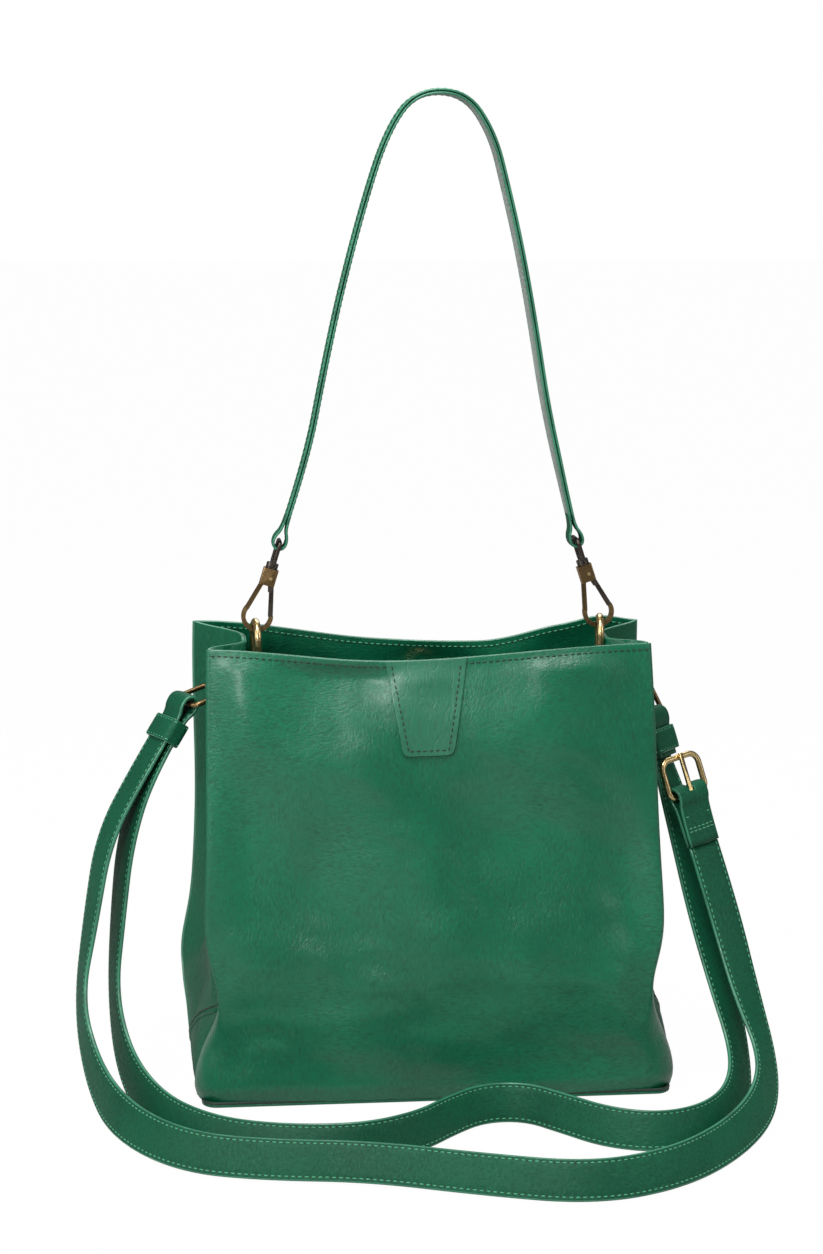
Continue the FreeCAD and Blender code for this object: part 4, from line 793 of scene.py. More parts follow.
class BAG_OT_lining(bpy.types.Operator):
    """Leather facings inside the rim, the cloth lining, and the stiffener in the base"""
    bl_idname = "bag.lining"
    bl_label = "Facings and lining"

    def execute(self, context):
        leather, height = sizes().leather, sizes().height
        start = height - 0.044
        for name, side in WALLS:
            shape = wall_sheet(side, 120, 16, leather + 0.0001, start, height, 0.016)
            made = piece(name + "_facing_leather", shape, ("leather", "edge"), (name + "_facing",))
            thicken(made, 0.0012)
            shape = wall_sheet(side, 70, 60, leather + 0.0002, 0.0025, start + 0.002, 0.018)
            made = piece(name + "_lining_cloth", shape, ("lining", "lining"), (name + "_lining",), slot="lining")
            thicken(made, 0.0009, bevel=0)
        for name, side in SIDES:
            shape = side_sheet(side, 46, 60, 0.0021, 0.0025, height - 0.0004)
            made = piece(name + "_lining_cloth", shape, ("leather", "edge"), (name + "_lining",), slot="lining")
            thicken(made, 0.0007, bevel=0.0002)
        board = bmesh.new()
        bmesh.ops.create_grid(board, x_segments=24, y_segments=12, size=0.5)
        for vert in board.verts:
            dome = 0.0008 * (1 - (2 * vert.co.x) ** 4) * (1 - (2 * vert.co.y) ** 4)
            vert.co = Vector((vert.co.x * 0.252, vert.co.y * 0.114, 0.0041 + dome))
        made = piece("base_board_cloth", board, ("lining", "lining"), ("base_board",), slot="board")
        thicken(made, 0.0018, bevel=0.0005)
        return {"FINISHED"}


class BAG_OT_rim_stitches(bpy.types.Operator):
    """Rows of stitches along the rims, on both faces of each wall"""
    bl_idname = "bag.rim_stitches"
    bl_label = "Rim stitches"

    def execute(self, context):
        height, leather = sizes().height, sizes().leather
        through = leather + 0.0014
        stitch_line = 1 - 0.0034 / (height - leather)
        rows = (("outer", 0.0, "dark thread", False, 0.0002), ("inner", through, "thread", True, 0.0))
        for name, side in WALLS:
            for face, inset, thread, holes, lift in rows:
                places = [wall_point(side, -0.985 + 1.97 * k / 160, stitch_line, inset) for k in range(161)]
                facing = outward(side if face == "outer" else -side)
                stitches = Stitches()
                stitches.row(places, [facing] * len(places), holes, lift=lift)
                stitches.finished(f"{name}_rim_stitches_{face}", (thread, "hole_shade"))
        return {"FINISHED"}


class BAG_OT_front_tab(bpy.types.Operator):
    """Tapered leather tab sewn to the middle of the front, and its stitches"""
    bl_idname = "bag.front_tab"
    bl_label = "Front tab"
    DROP = 0.0555

    def edge(self, share, margin=0.0):
        """Half width of the tab, and how far below the rim, along its outline."""
        top, bottom = 0.0233, 0.0140
        return top + (bottom - top) * share - margin, self.DROP * share

    def spot(self, sideways, drop, lift):
        height, centre = sizes().height, -0.003
        half = sizes().rim_width / 2
        v = 1 - drop / (height - sizes().leather)
        return wall_point(-1, (centre + sideways) / half, v, -lift)

    def execute(self, context):
        thick, corner = 0.0014, 0.0035

        def place(across, down):
            fallen = (1 - down)
            half, low = self.edge(fallen)
            near = self.DROP - low
            if near < corner:
                half -= corner - math.sqrt(max(0.0, corner ** 2 - (corner - near) ** 2))
            return self.spot((2 * across - 1) * half, low, thick + 0.0001)

        made = piece("front_tab_leather", grid_sheet(40, 70, place), ("tab leather", "edge"),
                     ("front_tab",))
        thicken(made, thick, bevel=0.0003)
        margin = 0.0032
        corners = [(-1, 0.0), (-1, 1.0), (1, 1.0), (1, 0.0)]
        places = []
        for (side_a, share_a), (side_b, share_b) in zip(corners, corners[1:]):
            for k in range(40):
                share = k / 40
                along = share_a + (share_b - share_a) * share
                half, low = self.edge(along, margin)
                sideways = half * (side_a + (side_b - side_a) * share)
                low = min(low, self.DROP - margin)
                places.append(self.spot(sideways, low, thick + 0.0002))
        stitches = Stitches()
        stitches.row(places, [outward(-1)] * len(places), holes=False, inset=0.002)
        stitches.finished("front_tab_stitches", ("dark thread",))
        return {"FINISHED"}


# The long strap: one band doubled through both side rings, lying in front of the bag

# Side rings: middle of the bar, the way the ring points, the bar's direction, and the way the strap hangs
LEFT_BAR, RIGHT_BAR = Vector((-0.12232, 0, 0.232)), Vector((0.12232, 0, 0.232))
LEFT_OUT, RIGHT_OUT = Vector((-0.8712, -0.4062, -0.2756)), Vector((0.4045, -0.2939, -0.8660))
LEFT_ALONG_BAR, RIGHT_ALONG_BAR = Vector((0.4226, -0.9063, 0)), Vector((0.5878, 0.8090, 0))
LEFT_DOWN, RIGHT_DOWN = Vector((-0.5198, -0.2424, -0.8192)), Vector((0.2620, -0.1904, -0.9461))
LEFT_TIP, RIGHT_TIP = Vector((-0.14236, -0.00934, 0.22566)), Vector((0.13163, -0.00676, 0.21208))
BUCKLE_BAR = Vector((0.14960, -0.02570, 0.16940))
BUCKLE_ACROSS, BUCKLE_OUT = Vector((0.8520, 0.5060, 0.1341)), Vector((0.4532, -0.8412, 0.2948))

FRONT_ROUTE = [
    (-0.1500, -0.0129, 0.2136), (-0.1666, -0.0207, 0.1874), (-0.187, -0.024, 0.150), (-0.195, -0.024, 0.104),
    (-0.203, -0.034, 0.056), (-0.194, -0.066, 0.022), (-0.178, -0.114, 0.012), (-0.146, -0.158, 0.010),
    (-0.104, -0.174, 0.010), (-0.048, -0.182, 0.010), (0.008, -0.206, 0.010), (0.062, -0.224, 0.010),
    (0.108, -0.207, 0.010), (0.146, -0.168, 0.010), (0.174, -0.122, 0.013), (0.184, -0.086, 0.026),
    (0.176, -0.060, 0.060), (0.168, -0.038, 0.101), (0.1566, -0.0296, 0.1399),
]
FRONT_TURNS = [
    (0.42, -0.91, 0), (0.42, -0.91, 0), (0.40, -0.92, 0), (0.35, -0.95, 0), (0.2, -0.8, 0.5), (0.3, -0.3, 0.9),
    (0.45, 0.1, 0.87), (0.35, 0.35, 0.87), (0.1, 0.5, 0.87), (0.1, 0.5, 0.87), (0.1, 0.5, 0.87), (0, 0.5, 0.87),
    (-0.2, 0.45, 0.87), (-0.35, 0.35, 0.87), (-0.45, 0.25, 0.85), (-0.6, -0.3, 0.65), (-0.85, -0.4, 0.3),
    (-0.9, -0.4, 0.1), (-0.852, -0.506, -0.134),
]
BACK_ROUTE = [
    (-0.1500, -0.0129, 0.2136), (-0.1666, -0.0207, 0.1874), (-0.179, -0.022, 0.148), (-0.184, -0.018, 0.104),
    (-0.188, -0.025, 0.058), (-0.181, -0.052, 0.024), (-0.164, -0.098, 0.013), (-0.134, -0.138, 0.012),
    (-0.096, -0.155, 0.012), (-0.052, -0.160, 0.012), (-0.018, -0.143, 0.012), (0.003, -0.118, 0.012),
    (0.022, -0.101, 0.012), (0.043, -0.101, 0.012), (0.060, -0.120, 0.012), (0.082, -0.146, 0.012),
    (0.112, -0.157, 0.012), (0.143, -0.143, 0.012), (0.166, -0.108, 0.013), (0.174, -0.076, 0.027),
    (0.168, -0.050, 0.062), (0.159, -0.033, 0.101), (0.1496, -0.0198, 0.1471), (0.1381, -0.0115, 0.1887),
]
BACK_TURNS = [
    (0.42, -0.91, 0), (0.42, -0.91, 0), (0.40, -0.92, 0), (0.35, -0.95, 0), (0.2, -0.8, 0.5), (0.3, -0.3, 0.9),
    (0.45, 0.1, 0.87), (0.35, 0.35, 0.87), (0.1, 0.5, 0.87), (-0.1, 0.3, 0.95), (-0.2, 0.2, 0.95),
    (-0.2, 0.2, 0.95), (0, 0.3, 0.95), (0, 0.3, 0.95), (0.2, 0.2, 0.95), (0.1, 0.4, 0.9), (-0.1, 0.45, 0.87),
    (-0.35, 0.35, 0.87), (-0.45, 0.25, 0.85), (-0.6, -0.3, 0.65), (-0.85, -0.4, 0.3), (-0.9, -0.4, 0.1),
    (-0.852, -0.506, -0.134), (-0.588, -0.809, 0),
]
LAYER_SHIFT = 0.00225


def band_piece(node, stations, width, thickness, faces=STRAP_FACES, body="root", name=None):
    """A swept leather band, in place of the solid of that name."""
    shape = sweep(stations, band_outline(width, thickness), band_paint)
    return piece(name or node + "_leather", shape, faces, (node,), body)


def band_stitches(stations, width, thickness, faces=(1, -1)):
    """Stitches along both edges of a band, on the faces asked for."""
    stitches = Stitches()
    for face in faces:
        for edge in (-1, 1):
            places = [s.at(edge * GROOVE[0] * width / 2, face * GROOVE[1] * thickness / 2) for s in stations]
            stitches.row(places, [s.face * face for s in stations])
    return stitches


class BAG_OT_strap_runs(bpy.types.Operator):
    """Both runs of the long strap, with their stitched edges"""
    bl_idname = "bag.strap_runs"
    bl_label = "Strap runs"

    def execute(self, context):
        width, thick = sizes().strap_width, sizes().strap_thickness
        for name, route, turns, shift, length in (
                ("strap_front_run", FRONT_ROUTE, FRONT_TURNS, LAYER_SHIFT, 0.850),
                ("strap_back_run", BACK_ROUTE, BACK_TURNS, -LAYER_SHIFT, 0.865)):
            stations = route_stations(route, turns, 14, shift)
            band = band_piece(name, stations, width, thick)
            stitches = band_stitches(stations, width, thick).finished(name + "_stitches")
            exit_place = stations[0].middle
            tuple(exit_place)
            [tuple(s.middle) for s in stations]
        return {"FINISHED"}


def straight_stations(start, end, across_start, across_end, count=12):
    along = end - start
    return [Station(start.lerp(end, k / count), across_start.lerp(across_end, k / count), along)
            for k in range(count + 1)]


def fold_stations(bar, down, across, radius, spread, length):
    """A band that comes up one side, goes round a bar and runs back down the other side."""
    outward_way = down.cross(across).normalized()
    points, turns = [], []
    straight = min(0.55 * length, 0.0077)
    rows = [(spread, length), (spread, straight), (radius * 1.12, radius * 0.7), (radius * 1.05, -radius * 0.75),
            (0.0, -radius * 1.42), (-radius * 1.05, -radius * 0.75), (-radius * 1.12, radius * 0.7),
            (-spread, straight), (-spread, length)]
    for out, drop in rows:
        points.append(bar + outward_way * out + down * drop)
        turns.append(across)
    return route_stations(points, turns, 10)


class BAG_OT_strap_ends(bpy.types.Operator):
    """Where the strap folds through the side rings, its tip, and the keepers"""
    bl_idname = "bag.strap_ends"
    bl_label = "Strap ends and keepers"

    def execute(self, context):
        width, thick = sizes().strap_width, sizes().strap_thickness
        for name, bar, down, across, length in (
                ("left", LEFT_TIP, LEFT_DOWN, LEFT_ALONG_BAR, 0.0140),
                ("right", RIGHT_TIP, RIGHT_DOWN, RIGHT_ALONG_BAR, 0.0240)):
            stations = fold_stations(bar + down * 0.0007, down, across, 0.0041, LAYER_SHIFT, length)
            band_piece(f"strap_{name}_fold", stations, 0.0205, thick * 0.92)
            band_stitches(stations, 0.0205, thick * 0.92, faces=(1,)).finished(f"strap_{name}_fold_stitches")
        start = RIGHT_TIP + RIGHT_DOWN * 0.0247
        end = RIGHT_TIP + RIGHT_DOWN * 0.0667
        stations = straight_stations(start, end, RIGHT_ALONG_BAR, BUCKLE_ACROSS)
        for station in stations:
            station.middle = station.at(0, -LAYER_SHIFT)
        band_piece("strap_tip", stations, width, thick)
        band_stitches(stations, width, thick).finished("strap_tip_stitches")
        for name, tip, down, across, along in (
                ("left", LEFT_TIP, LEFT_DOWN, LEFT_ALONG_BAR, 0.0187),
                ("right", RIGHT_TIP, RIGHT_DOWN, RIGHT_ALONG_BAR, 0.0147)):
            self.keeper(name, tip + down * along, down, across)
        return {"FINISHED"}

    def keeper(self, name, middle, down, across):
        """A leather loop round both layers of the strap, stitched along both edges."""
        deep, wide, corner = 0.0052, 0.0125, 0.0028
        outward_way = down.cross(across).normalized()
        stations = []
        for turn, (a, b) in enumerate(((wide, deep), (-wide, deep), (-wide, -deep), (wide, -deep))):
            centre = (a - math.copysign(corner, a), b - math.copysign(corner, b))
            for k in range(7):
                angle = math.pi / 2 * (turn + k / 6)
                spot = middle + across * (centre[0] + corner * math.cos(angle))
                spot += outward_way * (centre[1] + corner * math.sin(angle))
                way = across * -math.sin(angle) + outward_way * math.cos(angle)
                stations.append(Station(spot, down, way))
        shape = sweep(stations, band_outline(0.0140, 0.0014), band_paint, looped=True)
        piece(name + "_keeper_leather", shape, STRAP_FACES, (name + "_keeper",), name + "_keeper")
        stitches = Stitches()
        for edge in (-1, 1):
            places = [s.at(edge * 0.0055, 0.0) + (s.middle - middle).normalized() * 0.0006 for s in stations]
            outwards = [(s.middle - middle).normalized() for s in stations]
            stitches.row(places, outwards)
        stitches.finished(name + "_keeper_stitches", body=name + "_keeper")


# Handle

HANDLE_ROUTE = [
    (-0.08259, 0, 0.32813), (-0.070, 0, 0.366), (-0.061, 0, 0.412), (-0.051, 0, 0.458), (-0.037, 0, 0.510),
    (-0.024, 0, 0.549), (-0.008, 0, 0.571), (0.020, 0, 0.571), (0.036, 0, 0.548), (0.044, 0, 0.517),
    (0.052, 0, 0.483), (0.060, 0, 0.440), (0.067, 0, 0.396), (0.076, 0, 0.356), (0.08272, 0, 0.32814),
]
LEFT_EYE, RIGHT_EYE = Vector((-0.08628, 0, 0.31702)), Vector((0.08547, 0, 0.31677))


class BAG_OT_handle(bpy.types.Operator):
    """Short handle of two layers of leather, its end loops and its stitches"""
    bl_idname = "bag.handle"
    bl_label = "Handle"

    def execute(self, context):
        turns = [(0.02, 1, 0)] * 6 + [(0.0, 1, 0)] * 3 + [(-0.02, 1, 0)] * 6
        width, layer = sizes().handle_width, 0.0018
        stations = route_stations(HANDLE_ROUTE, turns, 12)
        count = len(stations)

        def outline(row):
            share = min(row, count - 1 - row) / (count - 1)
            taper = 0.72 + 0.28 * smooth(share, 0.0, 0.075)
            return band_outline(width * taper, layer)

        for name, shift, paint, finishes, slot in (
                ("handle_outer", layer / 2, band_paint, STRAP_FACES, "leather"),
                ("handle_backing", -layer / 2, band_paint, ("strap leather", "edge", "flesh"), "suede_backing")):
            moved = [Station(s.at(0, shift), s.across, s.along) for s in stations]
            piece(name + "_leather", sweep(moved, outline, paint), finishes, (name,), "handle", slot)
        stitches = Stitches()
        for face in (-1, 1):
            for edge in (-1, 1):
                places = []
                for row, s in enumerate(stations):
                    half = outline(row)[12][0]
                    places.append(s.at(edge * (half - 0.0021), face * (layer * 0.86)))
                stitches.row(places, [s.face * face for s in stations], inset=0.004)
        stitches.finished("handle_stitches", body="handle")
        for name, eye, end in (("left", LEFT_EYE, stations[0].middle), ("right", RIGHT_EYE, stations[-1].middle)):
            down = (eye - end).normalized()
            folded = fold_stations(eye, down * -1, Vector((0, 1, 0)), 0.0034, 0.0010, (end - eye).length + 0.004)
            band_piece(f"handle_{name}_loop", folded, 0.0138, layer, body="handle")
        return {"FINISHED"}


# Rings, clips and other metal


# Middle of the right handle ring's straight bar; the left one mirrors it
RING_BAR = Vector((0.1005, 0, 0.2465))


def bent_ring(bar, out, along_bar, half, reach, near, far, wire, node, body, word, slot):
    """A ring of bent wire with a straight bar, as a smooth closed tube."""
    corners = [(half, 0, near), (half, reach, far), (-half, reach, far), (-half, 0, near)]
    places = []
    for i, (a, b, bend) in enumerate(corners):
        previous, following = corners[i - 1], corners[(i + 1) % 4]
        towards = Vector((previous[0] - a, previous[1] - b)).normalized()
        away = Vector((following[0] - a, following[1] - b)).normalized()
        middle = Vector((a, b)) + (towards + away) * bend
        for k in range(11):
            angle = math.pi / 2 * k / 10
            spot = middle - away * bend * math.cos(angle) - towards * bend * math.sin(angle)
            places.append(bar + along_bar * spot.x + out * spot.y)
    plane = along_bar.cross(out)
    shape = sweep(ring_stations(places, plane), wire_outline(wire / 2, 18), looped=True)
    return piece(node + "_wire", shape, (word,), (node,), body, slot)


class BAG_OT_rings(bpy.types.Operator):
    """Handle rings and side rings of bent wire"""
    bl_idname = "bag.rings"
    bl_label = "Rings"

    def execute(self, context):
        for name, side in SIDES:
            turn = math.radians(-side * 6)
            along_bar = Vector((-math.sin(turn), math.cos(turn), 0))
            bar = Vector((side * RING_BAR.x, 0, RING_BAR.z))
            bent_ring(bar, Vector((0, 0, 1)), along_bar, 0.0101, 0.024, 0.003, 0.01005, 0.0042,
                      name + "_handle_ring", name + "_ring", "brass", "pale_brass")
        for name, bar, out, along_bar in (("left", LEFT_BAR, LEFT_OUT, LEFT_ALONG_BAR),
                                          ("right", RIGHT_BAR, RIGHT_OUT, RIGHT_ALONG_BAR)):
            bent_ring(bar, out, along_bar, 0.014, 0.023, 0.004, 0.0042, 0.0030,
                      name + "_side_ring", "root", "antique", "antique_brass")
        return {"FINISHED"}


class BAG_OT_hardware(bpy.types.Operator):
    """Finishes and softened edges of the clips, gates, snaps, zip and buckle"""
    bl_idname = "bag.hardware"
    bl_label = "Clips, snaps and buckle"

    def execute(self, context):
        words = {}
        for name in ("left", "right"):
            words[name + "_clip_frame"] = ("antique", 0.0005)
            words[name + "_gate_pin"] = ("brass", 0.0004)
            words[name + "_clip_gate"] = ("gunmetal", 0.0004)
            words[name + "_gate_spring"] = ("gunmetal", 0.0)
            words[name + "_swivel_eye"] = ("gunmetal", 0.0004)
        words.update({
            "front_snap": ("brass", 0.0005), "back_snap": ("brass", 0.0005), "zip_teeth": ("antique", 0.0002),
            "zip_stops": ("antique", 0.0003), "zip_slider": ("antique", 0.0003), "zip_pull": ("antique", 0.0003),
            "side_studs": ("antique", 0.0), "ring_rivets": ("brass", 0.0),
            "buckle_frame": ("brass", 0.0), "buckle_prong": ("brass", 0.0004),
        })
        for node, (word, soften) in words.items():
            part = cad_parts[node]
            part.data.materials.clear()
            part.data.materials.append(finish(word))
            weld = part.modifiers.new("Closed corners", "WELD")
            weld.merge_threshold = 1e-6
            if soften:
                round_edges(part, soften, 2, 32)
        return {"FINISHED"}


# Leather tabs, the buckle's fold and the zipped divider


class BAG_OT_ring_tabs(bpy.types.Operator):
    """Leather tabs that hold the handle rings and the side rings"""
    bl_idname = "bag.ring_tabs"
    bl_label = "Ring tabs"

    def execute(self, context):
        for name, side in SIDES:
            bar = Vector((side * RING_BAR.x, 0, RING_BAR.z))
            wall = Vector((side * 0.1063, 0, 0.2360))
            foot = Vector((side * 0.1074, 0, 0.2255))
            inner = Vector((-side, 0, 0))
            points = [foot, foot.lerp(wall, 0.5), wall + inner * 0.0006, bar + Vector((side * 0.0044, 0, -0.0020)),
                      bar + Vector((side * 0.0040, 0, 0.0040)), bar + Vector((0, 0, 0.0062)),
                      bar + Vector((-side * 0.0040, 0, 0.0040)), bar + Vector((-side * 0.0043, 0, -0.0022)),
                      wall + inner * 0.0036 + Vector((0, 0, -0.002)), foot.lerp(wall, 0.5) + inner * 0.0019,
                      foot + inner * 0.0019]
            stations = route_stations(points, [(0, 1, 0)] * len(points), 10)
            band_piece(name + "_ring_tab", stations, 0.0140, 0.0018, TAB_FACES)
            self.side_patch(name, side)
        return {"FINISHED"}

    def side_patch(self, name, side):
        bar, out, along_bar = ((LEFT_BAR, LEFT_OUT, LEFT_ALONG_BAR) if side < 0
                               else (RIGHT_BAR, RIGHT_OUT, RIGHT_ALONG_BAR))
        foot, tall, wide = 0.203, 0.036, 0.0180

        def place(across, up):
            z = foot + tall * up
            corner = min(1.0, min(across, 1 - across) * 3.2) * min(1.0, min(up, 1 - up) * 6)
            y = (across - 0.5) * side * wide * (0.9 + 0.1 * min(1.0, corner * 3))
            v = (z - sizes().leather) / (sizes().height - sizes().leather)
            base = side_point(side, y / (half_depth(z) - 0.004), v)
            return Vector((base.x + side * 0.0019, y, z))

        patch = piece(name + "_side_patch_leather", grid_sheet(12, 24, place), ("smooth leather", "edge"),
                      (name + "_side_patch",))
        thicken(patch, 0.0018, bevel=0.0004)
        flat = Vector((out.x, out.y, 0)).normalized()
        reach = (bar - Vector((side * 0.1140, 0, bar.z))).dot(flat)
        points, turns = [], []
        for out_step, up in ((reach, -0.0009), (0.6 * reach, -0.0010), (0.0015, -0.0036), (-0.0034, -0.0030),
                             (-0.0046, 0.0), (-0.0034, 0.0030), (0.0015, 0.0036), (0.6 * reach, 0.0010),
                             (reach, 0.0009)):
            points.append(bar - flat * out_step + Vector((0, 0, up)))
            turns.append(along_bar)
        stations = route_stations(points, turns, 8)
        band_piece(name + "_side_tab", stations, 0.0158, 0.0017, TAB_FACES)
        stitches = Stitches()
        places = [place(across, up) for across, up in
                  ((0.16, 0.93), (0.16, 0.07), (0.84, 0.07), (0.84, 0.93), (0.16, 0.93))]
        dense = []
        for a, b in zip(places, places[1:]):
            dense += [a.lerp(b, k / 12) for k in range(12)]
        spots = []
        for spot in dense:
            across = spot.y / (side * wide) + 0.5
            up = (spot.z - foot) / tall
            spots.append(place(min(1, max(0, across)), min(1, max(0, up))) + Vector((side * 0.0002, 0, 0)))
        stitches.row(spots, [Vector((side, 0, 0.1))] * len(spots))
        stitches.finished(name + "_side_patch_stitches")


class BAG_OT_buckle_fold(bpy.types.Operator):
    """The strap's end folded round the buckle's bar and stitched down"""
    bl_idname = "bag.buckle_fold"
    bl_label = "Buckle fold"

    def execute(self, context):
        thick = sizes().strap_thickness
        stations = fold_stations(BUCKLE_BAR, RIGHT_DOWN, BUCKLE_ACROSS, 0.0040, 0.0016, 0.0300)
        half = sizes().strap_width / 2
        for label, low, high in (("a", -half, -0.0021), ("b", 0.0021, half)):
            mid, wide = (low + high) / 2, high - low
            bridge = [Station(s.at(mid, 0), s.across, s.along) for s in stations[24:-24]]
            band_piece("buckle_fold", bridge, wide, thick * 0.9, name=f"buckle_fold_side_{label}")
        for label, part in (("front", stations[:26]), ("back", stations[-26:])):
            band_piece("buckle_fold", part, sizes().strap_width, thick * 0.95, name=f"buckle_fold_{label}")
        stitches = Stitches()
        for drop in (0.0125, 0.0195, 0.0215):
            for side_way in (1, -1):
                places = []
                for k in range(13):
                    across = -0.0095 + 0.019 * k / 12
                    spot = BUCKLE_BAR + RIGHT_DOWN * drop + BUCKLE_ACROSS * across
                    places.append(spot + BUCKLE_OUT * side_way * (0.0016 + thick * 0.47))
                stitches.row(places, [BUCKLE_OUT * side_way] * len(places), pitch=0.0032)
        stitches.finished("buckle_fold_stitches")
        return {"FINISHED"}


class BAG_OT_divider(bpy.types.Operator):
    """Zipped divider inside the bag, with its woven tapes"""
    bl_idname = "bag.divider"
    bl_label = "Zipped divider"

    def execute(self, context):
        low, high = 0.096, 0.222

        def reach(z):
            return half_width(z) - rise(z) * sizes().fold_depth - 0.0050

        for name, side in WALLS:
            def place(across, up):
                z = low + (high - low) * up
                x = -side * (2 * across - 1) * reach(z)
                sag = 0.0008 * noise.noise(Vector((x * 18, side, z * 16))) * (1 - up ** 6)
                return Vector((x, side * (0.0056 + sag), z))
            made = piece(f"divider_{name}_cloth", grid_sheet(60, 30, place), ("lining", "lining"),
                         (f"divider_{name}",), slot="lining")
            thicken(made, 0.0011, bevel=0)

            def tape(across, up):
                x = (2 * across - 1) * reach(high)
                y = 0.0025 + (0.0058 - 0.0025) * up
                return Vector((-side * x, side * (0.0083 - y), high + 0.0008))
            made = piece(f"zip_tape_{name}_cloth", grid_sheet(60, 3, tape), ("tape", "tape"),
                         (f"zip_tape_{name}",), slot="zip_tape")
            thicken(made, 0.0007, bevel=0)

        def floor(across, along):
            return Vector(((2 * across - 1) * reach(low), (2 * along - 1) * 0.0045, low + 0.0012))
        made = piece("divider_floor_cloth", grid_sheet(60, 3, floor), ("lining", "lining"),
                     ("divider_floor",), slot="lining")
        thicken(made, 0.0011, bevel=0)
        return {"FINISHED"}


# Stage


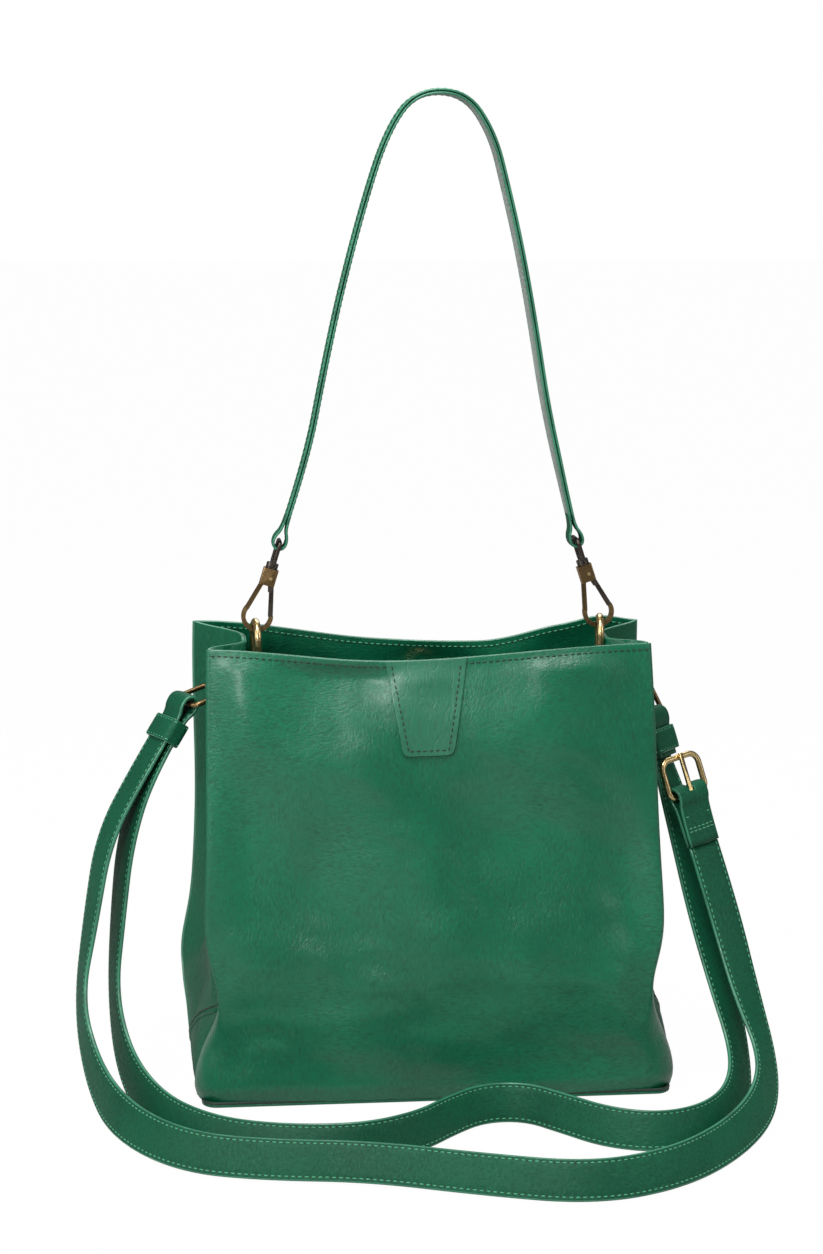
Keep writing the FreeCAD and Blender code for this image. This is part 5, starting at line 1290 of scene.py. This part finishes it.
class BAG_OT_stage(bpy.types.Operator):
    """Pale floor, soft lamps, white surroundings and the camera"""
    bl_idname = "bag.stage"
    bl_label = "Stage and camera"

    def execute(self, context):
        scene = context.scene
        scene.view_settings.view_transform = "Standard"
        self.camera(scene)
        self.floor(scene)
        self.world(scene)
        for name, place, aim, width, height, power in (
                ("Sheen", (-0.55, -1.30, 0.92), (-0.02, 0, 0.17), 0.30, 0.42, 10.0),
                ("Sky", (-0.20, -0.55, 1.75), (0, 0, 0.15), 0.8, 0.6, 27.0),
                ("Left", (-1.45, -0.55, 0.75), (0, 0, 0.15), 0.6, 0.9, 8.0),
                ("Right", (1.35, -0.75, 0.95), (0, 0, 0.15), 0.5, 0.9, 6.0),
                ("Rear", (0.15, 0.95, 1.25), (0, 0, 0.3), 1.0, 0.6, 9.0)):
            lamp = bpy.data.lights.new(name, "AREA")
            lamp.shape = "RECTANGLE"
            lamp.size, lamp.size_y, lamp.energy = width, height, power
            holder = bpy.data.objects.new(name, lamp)
            scene.collection.objects.link(holder)
            holder.location = place
            holder.rotation_euler = (Vector(aim) - Vector(place)).to_track_quat("-Z", "Y").to_euler()
        return {"FINISHED"}

    def camera(self, scene):
        target, distance = Vector((-0.010, 0.0, 0.266)), 1.517
        azimuth, elevation = math.radians(-5.5), math.radians(8.9)
        lens = bpy.data.cameras.new("Camera")
        lens.lens, lens.sensor_width = 75.0, 36.0
        lens.clip_start = 0.01
        holder = bpy.data.objects.new("Camera", lens)
        scene.collection.objects.link(holder)
        way = Vector((math.sin(azimuth) * math.cos(elevation), -math.cos(azimuth) * math.cos(elevation),
                      math.sin(elevation)))
        holder.location = target + way * distance
        holder.rotation_euler = (way * -1).to_track_quat("-Z", "Y").to_euler()
        scene.camera = holder

    def seen_white(self, tree, lit, white, output, share):
        """Show a white shader to the camera by this share, while another one lights the scene."""
        path = tree.nodes.new("ShaderNodeLightPath")
        seen = tree.nodes.new("ShaderNodeMath")
        seen.operation = "MULTIPLY"
        seen.inputs[1].default_value = share
        mix = tree.nodes.new("ShaderNodeMixShader")
        white.inputs["Color"].default_value = (1, 1, 1, 1)
        for source, target in ((path.outputs["Is Camera Ray"], seen.inputs[0]), (seen.outputs[0], mix.inputs[0]),
                               (lit.outputs[0], mix.inputs[1]), (white.outputs[0], mix.inputs[2]),
                               (mix.outputs[0], tree.nodes[output].inputs["Surface"])):
            tree.links.new(source, target)

    def floor(self, scene):
        shape = bmesh.new()
        bmesh.ops.create_grid(shape, x_segments=1, y_segments=1, size=30.0)
        mesh = bpy.data.meshes.new("Floor")
        shape.to_mesh(mesh)
        shape.free()
        holder = bpy.data.objects.new("Floor", mesh)
        scene.collection.objects.link(holder)
        material = bpy.data.materials.new("Pale floor")
        material.use_nodes = True
        tree = material.node_tree
        shader = tree.nodes["Principled BSDF"]
        shader.inputs["Base Color"].default_value = (0.55, 0.55, 0.55, 1)
        shader.inputs["Roughness"].default_value = 0.9
        self.seen_white(tree, shader, tree.nodes.new("ShaderNodeEmission"), "Material Output", 0.985)
        mesh.materials.append(material)

    def world(self, scene):
        world = bpy.data.worlds.new("Studio")
        scene.world = world
        world.use_nodes = True
        tree = world.node_tree
        back = tree.nodes["Background"]
        back.inputs["Color"].default_value = (1, 1, 1, 1)
        back.inputs["Strength"].default_value = 0.17
        self.seen_white(tree, back, tree.nodes.new("ShaderNodeBackground"), "World Output", 1.0)


STEPS = (BAG_OT_stage, BAG_OT_strap_runs, BAG_OT_strap_ends, BAG_OT_shell, BAG_OT_lining, BAG_OT_rim_stitches,
         BAG_OT_front_tab, BAG_OT_handle, BAG_OT_rings, BAG_OT_hardware, BAG_OT_ring_tabs, BAG_OT_buckle_fold,
         BAG_OT_divider)


class BAG_PT_pieces(bpy.types.Panel):
    """Sizes, colours and one button for each group of pieces"""
    bl_idname = "BAG_PT_pieces"
    bl_label = "Bucket bag"
    bl_space_type = "VIEW_3D"
    bl_region_type = "UI"
    bl_category = "Bag"

    def draw(self, context):
        for group in (context.scene.bag_sizes, context.scene.bag_colours):
            box = self.layout.box()
            for key in group.__annotations__:
                box.prop(group, key)
        for step in STEPS:
            self.layout.operator(step.bl_idname)


CLASSES = (BagSizes, BagColours, *STEPS, BAG_PT_pieces)


def register():
    for item in CLASSES:
        bpy.utils.register_class(item)
    bpy.types.Scene.bag_sizes = bpy.props.PointerProperty(type=BagSizes)
    bpy.types.Scene.bag_colours = bpy.props.PointerProperty(type=BagColours)


def unregister():
    del bpy.types.Scene.bag_colours
    del bpy.types.Scene.bag_sizes
    for item in reversed(CLASSES):
        bpy.utils.unregister_class(item)


def main():
    register()
    for step in STEPS:
        group, name = step.bl_idname.split(".")
        getattr(getattr(bpy.ops, group), name)()


if __name__ == "__main__":
    main()
